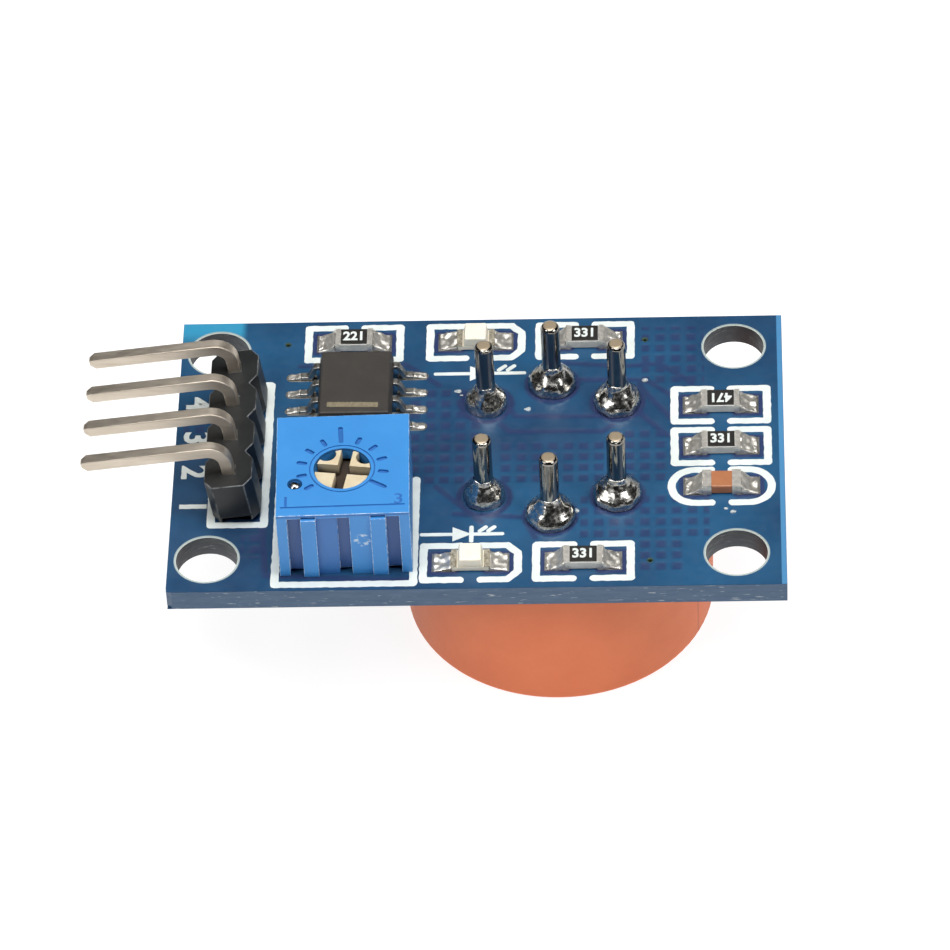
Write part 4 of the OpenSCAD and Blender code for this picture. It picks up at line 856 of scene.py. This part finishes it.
# ---- header ----
headerLook = {"stripEdge": 0.06, "pinEdge": 0.07}
strip = copyNode("header_strip")
breakEdges(strip, headerLook["stripEdge"], 2, 30, rim=True)
finishPiece(strip, "headerStripMoulded", blackNylon, ["header_strip"], rim=nylonRimHighlight)
for i in range(1, 5):
    pin = copyNode(f"header_pin_{i}", 0.05)
    breakEdges(pin, headerLook["pinEdge"], 3, 30, smooth=True)
    finishPiece(pin, f"headerPinDrawn{i}", tinnedWire, [f"header_pin_{i}"])
pourSolder("header_solder", "headerJoints", softSolder,
    {"even": 0.07, "rounds": 4, "lump": 0.05, "wave": 0.5})
print("header done")

# ---- trimmer ----
wide, deep, tall = trimmerLook["size"]
middle = wide / 2
under = tall - trimmerLook["lip"]
housing = block((0, 0, 0), (wide, deep, tall))
ribFrom, ribTo, ribIn = trimmerLook["rib"]
for side in (-1, 1):
    a, b = sorted((middle + side * ribFrom, middle + side * ribTo))
    carve(housing, block((a, -trimmerLook["ribOut"], 0), (b, ribIn, under - 0.01)), "UNION")


def cutGroove(start, end, depth, feet):
    for side in (-1, 1):
        a, b = sorted((middle + side * start, middle + side * end))
        carve(housing, block((a, -1, -1), (b, depth, under)))
        if feet:
            carve(housing, block((a, -1, -1), (b, trimmerLook["footDeep"], trimmerLook["feet"])))
        if start < 0:
            break  # the middle groove is cut once


for groove in trimmerLook["grooves"]:
    cutGroove(*groove, True)
for side in (-1, 1):
    a, b = sorted((middle + side * ribFrom, middle + side * ribTo))
    carve(housing, block((a, -1, under - trimmerLook["ribDrop"]), (b, ribIn, under + trimmerLook["nick"])))
carve(housing, block((-1, trimmerLook["footDeep"], -1),
    (wide + 1, deep - trimmerLook["footDeep"], trimmerLook["feet"])))
breakEdges(housing, trimmerLook["edge"], 2, 40, rim=True)
cutGroove(*trimmerLook["panel"], False)
carve(housing, block(*trimmerLook["hollow"]))
lineIn, lineAt, lineWide, lineDeep = trimmerLook["line"]
carve(housing, block((lineIn, lineAt, tall - lineDeep), (wide - lineIn, lineAt + lineWide, tall + 1)))
toLocal = trimmerFrame.inverted() @ axisFrame
dialX, dialY = toLocal.translation.x / mm, toLocal.translation.y / mm
carve(housing, settle(drum(0, 0, trimmerLook["bore"], -2, 1, 96), toLocal))
roomRadius, roomLow, roomHigh = trimmerLook["room"]
carve(housing, settle(drum(0, 0, roomRadius, roomLow, roomHigh, 64), toLocal))
ringCut = drum(dialX, dialY, trimmerLook["ring"][1], tall - 0.06, tall + 1, 96)
carve(ringCut, drum(dialX, dialY, trimmerLook["ring"][0], tall - 1, tall + 2, 96))
carve(housing, ringCut)
half = trimmerLook["marks"] // 2
for i in range(-half, half + 1):
    start = trimmerLook["ring"][0] + 0.05 if i == -half else trimmerLook["markFrom"]
    end = trimmerLook["markTo"]
    if i == 0:
        end = trimmerLook["markLong"]
    elif i == -half:
        end = trimmerLook["markLast"]
    mark = roundBar(start, end, trimmerLook["markWide"], tall - trimmerLook["markDeep"], tall + 1)
    turn = Matrix.Rotation(math.radians(trimmerLook["markMid"] + i * trimmerLook["markStep"]), 4, "Z")
    carve(housing, settle(mark, Matrix.Translation((dialX * mm, dialY * mm, 0)) @ turn))
sightX, sightY, sightRadius, sightDeep = trimmerLook["sight"]
carve(housing, drum(sightX, sightY, sightRadius, tall - sightDeep, tall + 1, 32))
for digit, x, y in trimmerLook["digits"]:
    cut = writeDigits(digit, Vector((x, y, tall)) * mm,
        {"size": trimmerLook["digitSize"], "thick": 2 * trimmerLook["digitDeep"], "bold": 0.02})
    carve(housing, cut)
settle(housing, trimmerFrame)
finishPiece(housing, "trimmerHousingMoulded", trimmerBlue, ["trimmer_housing"],
    rim=trimmerRimHighlight)

# the rotor: a flanged drum, crossed by two slots, with two bites out of its back rim
rotorLook = {"neck": 1.435, "flange": 1.95, "low": -2.2, "step": -1.42, "sunk": -0.08,
    "slotWide": 0.6, "slotDeep": 0.8, "slotTurn": -9.5, "bite": 0.48, "edge": 0.05}
rotor = drum(0, 0, rotorLook["flange"], rotorLook["low"], rotorLook["step"], 64)
carve(rotor, drum(0, 0, rotorLook["neck"], rotorLook["low"] + 0.1, rotorLook["sunk"], 96), "UNION")
slotFloor = rotorLook["sunk"] - rotorLook["slotDeep"]
for turn in (0, 90):
    slotCut = block((-rotorLook["slotWide"] / 2, -1.6, slotFloor), (rotorLook["slotWide"] / 2, 1.6, 1))
    carve(rotor, settle(slotCut, Matrix.Rotation(math.radians(rotorLook["slotTurn"] + turn), 4, "Z")))
for turn in (45, 135):
    angle = math.radians(rotorLook["slotTurn"] + turn)
    carve(rotor, drum(rotorLook["neck"] * math.cos(angle), rotorLook["neck"] * math.sin(angle),
        rotorLook["bite"], slotFloor, 1, 24))
breakEdges(rotor, rotorLook["edge"], 2, 40)
settle(rotor, axisFrame)
finishPiece(rotor, "trimmerRotorMoulded", rotorIvory, ["trimmer_rotor"], "rotor")

# the first terminal ends in a round bead that shows in the sight hole
terminals = copyNode("trimmer_terminals")
sightAt = trimmerFrame @ (Vector((sightX, sightY, tall - 0.36)) * mm)
topEnds = [v for v in terminals.data.vertices if v.co.z > boardTop + 3.5 * mm]
endMid = sum((v.co for v in topEnds), Vector()) / len(topEnds)
for vertex in topEnds:
    vertex.co += Vector((sightAt.x - endMid.x, sightAt.y - endMid.y, sightAt.z - endMid.z - 0.1 * mm))
pick(nodes["circuit_board"])
bpy.ops.mesh.primitive_uv_sphere_add(segments=24, ring_count=16, radius=0.36 * mm, location=sightAt)
bead = settle(bpy.context.object)
lumpy(bead, 0.05, 0.3)
terminals = joinPieces([terminals, bead])
bpy.ops.object.shade_smooth_by_angle(angle=math.radians(50))
finishPiece(terminals, "trimmerTerminalsDrawn", softSolder, ["trimmer_terminals"])
finishNode("trimmer_wiper", firedGold)
finishNode("trimmer_o_ring", sealRubber, 60)
finishNode("trimmer_element", firedAlumina)
finishNode("trimmer_seal", pottingResin)
pourSolder("trimmer_solder", "trimmerJoints", softSolder,
    {"even": 0.07, "rounds": 4, "lump": 0.05, "wave": 0.5})
print("trimmer done")

# ---- comparator ----
chipLook = {"edge": 0.06, "leadEdge": 0.04, "barAt": (-6.64, 2.08), "bar": (2.69, 0.36), "turn": -1.3}
package = copyNode("comparator_body")
breakEdges(package, chipLook["edge"], 3)
finishPiece(package, "comparatorMoulded", packageEpoxy, ["comparator_body"])
leads = copyNode("comparator_leads")
breakEdges(leads, chipLook["leadEdge"], 2, smooth=True)
finishPiece(leads, "comparatorLeadsFormed", tinnedCopper, ["comparator_leads"])
pourSolder("comparator_solder", "comparatorJoints", padSolder,
    {"even": 0.04, "rounds": 4, "lump": 0.05, "wave": 0.22})
barHalf = [side / 2 for side in chipLook["bar"]]
stripe = block((-barHalf[0], -barHalf[1], -0.01), (barHalf[0], barHalf[1], 0.006))
packageTop = (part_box("comparator_body")[1].z - boardTop) / mm
settle(stripe, Matrix.Translation(onBoard(*chipLook["barAt"], packageTop))
    @ Matrix.Rotation(math.radians(chipLook["turn"]), 4, "Z"))
roughen(stripe, 0.08, 0.03, 0.12)
finishPiece(stripe, "comparatorStripe", laserMark)
print("comparator done")

# ---- chips ----
resistorSpots = []
for i in range(1, 6):
    chip = copyNode(f"resistor_{i}")
    breakEdges(chip, 0.03)
    finishPiece(chip, f"resistorCeramic{i}", firedAlumina, [f"resistor_{i}"])
    finishNode(f"resistor_{i}_caps", padSolder)
    x0, x1, y0, y1 = padBox(f"resistor_{i}")
    resistorSpots.append(((x0 + x1) / 2, (y0 + y1) / 2))
coats = copyNode("resistor_coats")
for vertex in coats.data.vertices:  # the glaze runs out nearly to the sides of the ceramic
    y = (vertex.co.y - boardMid.y) / mm
    nearest = min(resistorSpots, key=lambda s: math.hypot((vertex.co.x - boardMid.x) / mm - s[0], y - s[1]))
    vertex.co.y = boardMid.y + (nearest[1] + (y - nearest[1]) * 1.13) * mm
breakEdges(coats, 0.015, 2)
finishPiece(coats, "resistorGlaze", glassOvercoat, ["resistor_coats"])
codeLook = {"size": 0.9, "bold": 0.03, "thick": 0.02, "wide": 0.86}
coatTop = (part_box("resistor_coats")[1].z - boardTop) / mm
codes = [writeDigits(body, onBoard(x, y, coatTop), codeLook, turn) for body, (x, y), turn in
    zip(("221", "331", "331", "471", "331"), resistorSpots, (0, 0, 0, 180, 0))]
finishPiece(joinPieces(codes), "resistorCodes", printedInk)
capBlock = copyNode("capacitor")
breakEdges(capBlock, 0.07, 3)
finishPiece(capBlock, "capacitorBlock", tanCeramic, ["capacitor"])
finishNode("capacitor_caps", padSolder)
for i in (1, 2):
    lens = copyNode(f"led_{i}_lens")
    breakEdges(lens, 0.08, 3)
    finishPiece(lens, f"lampLens{i}", milkyEpoxy, [f"led_{i}_lens"])
    finishNode(f"led_{i}_base", milkyEpoxy)
    finishNode(f"led_{i}_terminals", fluxedSolder)
pourSolder("chip_solder", "chipJoints", padSolder,
    {"even": 0.045, "rounds": 3, "lump": 0.09, "wave": 0.35})
print("chips done")

# ---- sensor ----
domeLook = {
    "foot": 1.19, "tall": 1.5, "tip": 0.5, "lump": 0.08, "wave": 0.7,
    "grow": [1.02, 1.02, 0.92, 0.9, 1.06, 1.06],
    # share of the height, share of the way from the pin to the foot radius
    "side": [(0, 0.98), (0.08, 1.03), (0.17, 1.04), (0.26, 0.99), (0.35, 0.9), (0.45, 0.74),
        (0.55, 0.54), (0.63, 0.4), (0.7, 0.29), (0.83, 0.12), (1, 0.02)],
}
domes = []
for i, (x, y) in enumerate(pinSpots):
    foot = domeLook["foot"] * domeLook["grow"][i]
    tip = domeLook["tip"]
    row = [(tip - 0.06, 0.0)] + [(tip + (foot - tip) * w, domeLook["tall"] * h)
        for h, w in domeLook["side"]] + [(tip - 0.06, domeLook["tall"]), (tip - 0.06, 0.0)]

    def domeRule(u, v, row=row):
        radius, height = alongRow(row, v)
        angle = 2 * math.pi * u
        return (radius * math.cos(angle), radius * math.sin(angle), height)

    dome = shapedGrid(56, 52, domeRule)
    lumpy(dome, domeLook["lump"], domeLook["wave"], 7 * i)
    lumpy(dome, domeLook["lump"] * 0.25, domeLook["wave"] * 0.35, 3 * i)
    domes.append(settle(dome, Matrix.Translation(onBoard(x, y, 0.03))))
finishPiece(joinPieces(domes), "sensorJoints", softSolder, ["sensor_solder"])
for i in range(1, 7):
    pin = copyNode(f"sensor_pin_{i}", 0.05)
    breakEdges(pin, 0.16, 4, 40, smooth=True)
    finishPiece(pin, f"sensorPinTurned{i}", pinNickel, [f"sensor_pin_{i}"])
finishNode("sensor_housing", sensorOrange, 40)
finishNode("sensor_base", sensorOrange, 40)

# woven gauze in the window: wires that pass over and under each other
gauzeLow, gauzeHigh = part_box("sensor_mesh")
gauzeMid = (gauzeLow + gauzeHigh) / 2
gauzeLook = {"pitch": 0.6, "wire": 0.085, "weave": 0.06}
gauzeRadius = (gauzeHigh.x - gauzeLow.x) / 2 / mm
wires = []
count = int(gauzeRadius / gauzeLook["pitch"])
for turn in (0, 90):
    for k in range(-count, count + 1):
        offset = k * gauzeLook["pitch"]
        reach = math.sqrt(max(gauzeRadius ** 2 - offset ** 2, 0.0))
        if reach < 0.5:
            continue

        def wireRule(u, v, offset=offset, reach=reach, k=k, turn=turn):
            run = (2 * v - 1) * reach
            ripple = math.cos(math.pi * run / gauzeLook["pitch"]) * gauzeLook["weave"]
            ripple *= (-1) ** k * (1 if turn else -1)
            radius = gauzeLook["wire"] if 0.001 < v < 0.999 else 0.0
            angle = 2 * math.pi * u
            return (run, offset + radius * math.cos(angle), ripple + radius * math.sin(angle))

        wire = shapedGrid(6, max(12, int(reach * 2 / 0.12)), wireRule)
        wires.append(settle(wire, Matrix.Translation(gauzeMid) @ Matrix.Rotation(math.radians(turn), 4, "Z")))
finishPiece(joinPieces(wires), "gauzeWoven", gauzeSteel, ["sensor_mesh"])
finishNode("sensor_ring", gauzeSteel)
finishNode("sensing_tube", firedAlumina, 60)
finishNode("tube_bands", firedGold, 60)
finishNode("heater_coil", gauzeSteel, 60)
finishNode("electrode_wires", gauzeSteel, 60)

# drops of flux that spat on the board when the pins were soldered
specks = [(2.5, 3.1, 0.16), (5.1, -4.5, 0.15), (13.3, -4.7, 0.13), (8.7, 5.1, 0.14), (-1.2, 4.5, 0.16),
    (12.9, -4.5, 0.08), (-1.0, 4.2, 0.07)]
drops = []
for x, y, radius in specks:
    pick(nodes["circuit_board"])
    bpy.ops.mesh.primitive_ico_sphere_add(subdivisions=3, radius=radius * mm, location=onBoard(x, y, 0.03))
    drop = bpy.context.object
    drop.scale = (1.3, 0.9, 0.5)
    settle(drop)
    lumpy(drop, radius * 0.6, radius * 1.5, x)
    drops.append(drop)
drops = joinPieces(drops)
bpy.ops.object.shade_smooth()
finishPiece(drops, "fluxDrops", driedFlux)
print("sensor done")
